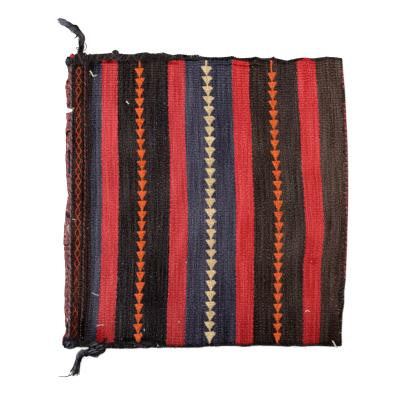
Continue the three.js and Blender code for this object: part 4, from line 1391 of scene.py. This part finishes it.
def add_seams():
    add_knots()
    for side, (corner, binding, end), (corner_wool, seam_wool), seed in SEAMS:
        add_seam(f"{side}_corner_wool", side, corner, binding, *CORNER_YARN, seed, corner_wool,
                 f"{side}_corner_lashing")
        add_seam(f"{side}_seam_wool", side, binding, end, *BINDING_YARN, seed + 1, seam_wool,
                 f"{side}_seam_binding")


def add_seam_hairs():
    """Fibres that stand out from both seams."""
    rng = np.random.default_rng(91)
    builder = Builder()
    for side in ("right", "left"):
        for _ in range(SEAM_HAIRS):
            x, out = rng.uniform(-188, 185), rng.uniform(-4, 3)
            height = SEAM_TOP + (1.6 if out < 0.5 else -2)
            start = (x, SIGN[side] * (float(cloth_edge(side, x)) + out), height)
            direction = (rng.normal(0, 0.7), SIGN[side] * rng.normal(0.5, 0.6), rng.uniform(-0.1, 0.5))
            hair(builder, rng, start, direction, rng.uniform(1.5, 5.5), 0.1)
    return builder.piece("seam_hairs", [GOAT_HAIR])


# Stitches left in the back panel's mouth edge: yarn, radius in millimetres, pixels (x, y)
LIP_STITCHES = (
    (0, 1.1, ((65.6, 81.2), (66.8, 80.8), (67.8, 80.2))),
    (0, 0.9, ((68.0, 93.2), (69.6, 93.8))),
    (0, 0.8, ((70.0, 101.8), (68.6, 103.6), (67.0, 105.6))),
    (0, 0.9, ((68.4, 119.8), (70.0, 119.4))),
    (0, 1.2, ((69.4, 130.8), (67.6, 131.2), (66.3, 132.8), (66.0, 135.4))),
    # A dark yarn laid along the shadowed gap between the lip and the front panel's mouth edge: a painted
    # shadow.
    (0, 1.5, ((68.2, 149.0), (68.7, 157.0), (69.1, 165.0), (69.0, 173.0), (68.6, 177.0))),
    (0, 1.0, ((67.8, 195.4), (68.9, 195.2))),
    (0, 1.1, ((66.4, 213.0), (66.2, 215.0), (67.2, 217.4))),
    (0, 1.2, ((69.6, 213.4), (68.2, 215.4), (68.6, 218.0), (70.0, 219.0))),
    (0, 0.8, ((68.0, 223.2), (69.0, 223.4))),
    (0, 0.8, ((63.4, 237.2), (65.4, 236.8))),
    (0, 0.8, ((64.2, 244.4), (66.0, 245.4), (68.2, 244.6))),
    (0, 0.8, ((66.6, 256.2), (69.0, 256.0))),
    (0, 0.9, ((66.6, 267.0), (68.0, 268.2), (69.0, 267.6))),
    (0, 1.1, ((67.0, 323.0), (66.4, 326.0), (67.6, 329.6), (66.6, 333.0))),
    (0, 1.1, ((69.0, 322.4), (69.8, 326.4), (68.6, 330.2), (69.4, 334.4))),
    (1, 0.7, ((66.8, 143.0), (67.6, 145.4), (67.2, 147.8))),
    (1, 0.7, ((68.8, 224.6), (67.6, 227.4), (68.6, 230.4), (68.0, 233.4))),
    (1, 0.7, ((66.9, 228.0), (68.0, 229.0))),
    (1, 0.8, ((66.0, 318.4), (67.4, 320.0), (66.6, 321.8))),
    (1, 0.6, ((65.6, 110.8), (67.0, 110.6))),
    (2, 0.75, ((65.8, 332.6), (63.8, 335.2), (62.0, 338.4), (61.5, 341.6), (61.9, 345.0))),
)


def add_lip():
    """Stitches and worn loops left in the back panel's mouth edge."""
    rng = np.random.default_rng(101)
    builder = Builder()
    for slot, radius, pixels in LIP_STITCHES:
        points = []
        for pixel in pixels:
            x, y = photo_mm(*pixel)
            height = panel_lift(across_at(x, y)) + CLOTH_THICKNESS + 0.3 + 0.5 * radius
            points.append((max(x, lip_edge_x(y) + 0.2), y, height))
        path = smooth_path(points, 5 * len(points))
        ends = 1 - 0.5 * np.abs(np.linspace(-1, 1, len(path))) ** 6
        builder.tube(path, radius * ends, 7, rng.uniform(0.0, 0.4), slot)
    return builder.piece("lip_stitches", [BLUE_BLACK, PALE_YARN, ROSE_YARN])


# Loose bits of thread: yarn, radius in millimetres, pixels (x, y)
THREADS = (
    (PALE_YARN, 0.8, ((90.0, 70.6), (91.6, 73.2), (93.4, 76.4))),
    (PALE_YARN, 0.5, ((93.4, 76.4), (95.4, 75.4), (97, 75))),
    (PALE_YARN, 0.8, ((126.5, 101), (127.6, 102.7), (129, 104))),
    (PALE_YARN, 0.5, ((92, 292.7), (95.2, 294.4), (99, 295.4))),
    (PALE_YARN, 0.45, ((96.2, 326.4), (100, 325.2), (104.2, 325.3))),
    (PALE_YARN, 0.5, ((305.2, 311.6), (307.5, 310.4), (310, 312))),
    (PALE_YARN, 0.85, ((332.8, 341), (334.2, 343.4), (335.4, 345.6), (337.2, 348.2))),
    (PALE_YARN, 0.5, ((186, 262), (187, 263))),
    (CREAM_THREAD, 0.6, ((72.6, 219), (74, 219.4), (75.6, 219.6))),
    (CREAM_THREAD, 0.5, ((72.6, 109.6), (73.6, 108.6), (74.2, 107.8))),
    (PALE_YARN, 0.5, ((144.2, 329.2), (144.4, 331.2))),
    (PALE_YARN, 0.5, ((140.2, 333.2), (141.4, 333.7))),
    (PALE_YARN, 0.5, ((178.6, 321.4), (179.2, 322.8))),
    (TAN_YARN, 0.6, ((335.7, 305.8), (336.6, 306.0))),
    (TAN_YARN, 0.5, ((338.2, 309.4), (339.6, 309.4))),
    (TAN_YARN, 0.5, ((338.2, 312.4), (339.0, 312.6))),
    (TAN_YARN, 0.4, ((335.2, 313.4), (336.2, 313.5))),
    (TAN_YARN, 0.5, ((340.4, 332.4), (340.5, 333.8))),
    (PALE_YARN, 0.45, ((311.2, 261.0), (312.0, 261.4))),
    (PALE_YARN, 0.6, ((157.7, 345.0), (158.0, 346.4))),
    (ROSE_YARN, 0.6, ((134.4, 346.2), (135.0, 346.6))),
    (GREY_YARN, 0.7, ((121.0, 338.8), (122.2, 339.6))),
)
# Threads lie on the cloth down to the first pixel of y, then over the twined ends by the left seam. From
# the second on, as far as the pixel of x, they lie on the seam's wool.
THREADS_RAISED_FROM, THREADS_ON_SEAM_FROM, THREADS_ON_SEAM_TO = 338, 344, 200
THREADS_ON_SEAM = 2.6


def thread_height(px, py, radius):
    height = float(front_height(*photo_mm(px, py), 1.0))
    height += radius * (0.8 if py < THREADS_RAISED_FROM else 2.4)
    on_seam = py > THREADS_ON_SEAM_FROM and px < THREADS_ON_SEAM_TO
    return max(height, SEAM_TOP + THREADS_ON_SEAM) if on_seam else height


def add_threads():
    for index, (yarn, radius, pixels) in enumerate(THREADS):
        points = photo_points((*pixel, thread_height(*pixel, radius)) for pixel in pixels)
        builder = Builder()
        builder.tube(smooth_path(points, 4 * len(points)), radius, 6, 0.5)
        builder.piece(f"loose_thread_{index}", [yarn])


# Studio

WORLD_STRENGTH = 0.5
LAMP_SIZE, LAMP_POWER = 1.4, 36.0  # metres, watts
LAMP_PLACE, LAMP_AIM = Vector((-1.15, 0.85, 1.55)), Vector((0, 0.05, 0))
FLOOR_HALF = 6.0  # metres
FLOOR_GREY, FLOOR_GLOW = 0.86, 0.76


def add_light():
    """A soft lamp over the mouth's right corner, and a white world."""
    scene = bpy.context.scene
    scene.view_settings.view_transform = "Standard"
    scene.world = bpy.data.worlds.new("studio")
    scene.world.use_nodes = True
    background = scene.world.node_tree.nodes["Background"]
    background.inputs["Color"].default_value = (1, 1, 1, 1)
    background.inputs["Strength"].default_value = WORLD_STRENGTH
    lamp = bpy.data.lights.new("overhead", "AREA")
    lamp.shape = "SQUARE"
    lamp.size = LAMP_SIZE
    lamp.energy = LAMP_POWER
    overhead = bpy.data.objects.new("overhead", lamp)
    overhead.location = LAMP_PLACE
    overhead.rotation_euler = (LAMP_AIM - LAMP_PLACE).to_track_quat("-Z", "Y").to_euler()
    scene.collection.objects.link(overhead)


def add_floor():
    """A plain pale floor that glows where it is seen, so that the ground round the bag looks white."""
    mesh = bpy.data.meshes.new("floor")
    corners = [(x * FLOOR_HALF, y * FLOOR_HALF, 0) for x, y in ((-1, -1), (1, -1), (1, 1), (-1, 1))]
    mesh.from_pydata(corners, [], [(0, 1, 2, 3)])
    floor = bpy.data.objects.new("floor", mesh)
    bpy.context.scene.collection.objects.link(floor)
    n = Nodes("floor")
    rays = n.new("ShaderNodeLightPath")
    seen = n.math("ADD", rays["Is Camera Ray"], rays["Is Glossy Ray"])
    seen = n.math("MINIMUM", n.math("ADD", seen, rays["Is Transmission Ray"]), 1.0)
    glow = n.math("MULTIPLY", seen, FLOOR_GLOW)
    n.put(n.shader.inputs["Base Color"], (FLOOR_GREY, FLOOR_GREY, FLOOR_GREY, 1))
    n.put(n.shader.inputs["Roughness"], 0.9)
    n.put(n.shader.inputs["Emission Color"], (1, 1, 1, 1))
    n.put(n.shader.inputs["Emission Strength"], glow)
    mesh.materials.append(n.material)


add_camera()
add_tassels()
cloth = add_cloth(cloth_material())
trim = [*add_chains(), add_diamonds(), add_twining(), add_fold_twining(), add_lip()]
add_seams()
add_seam_hairs()
add_threads()
add_light()
add_floor()
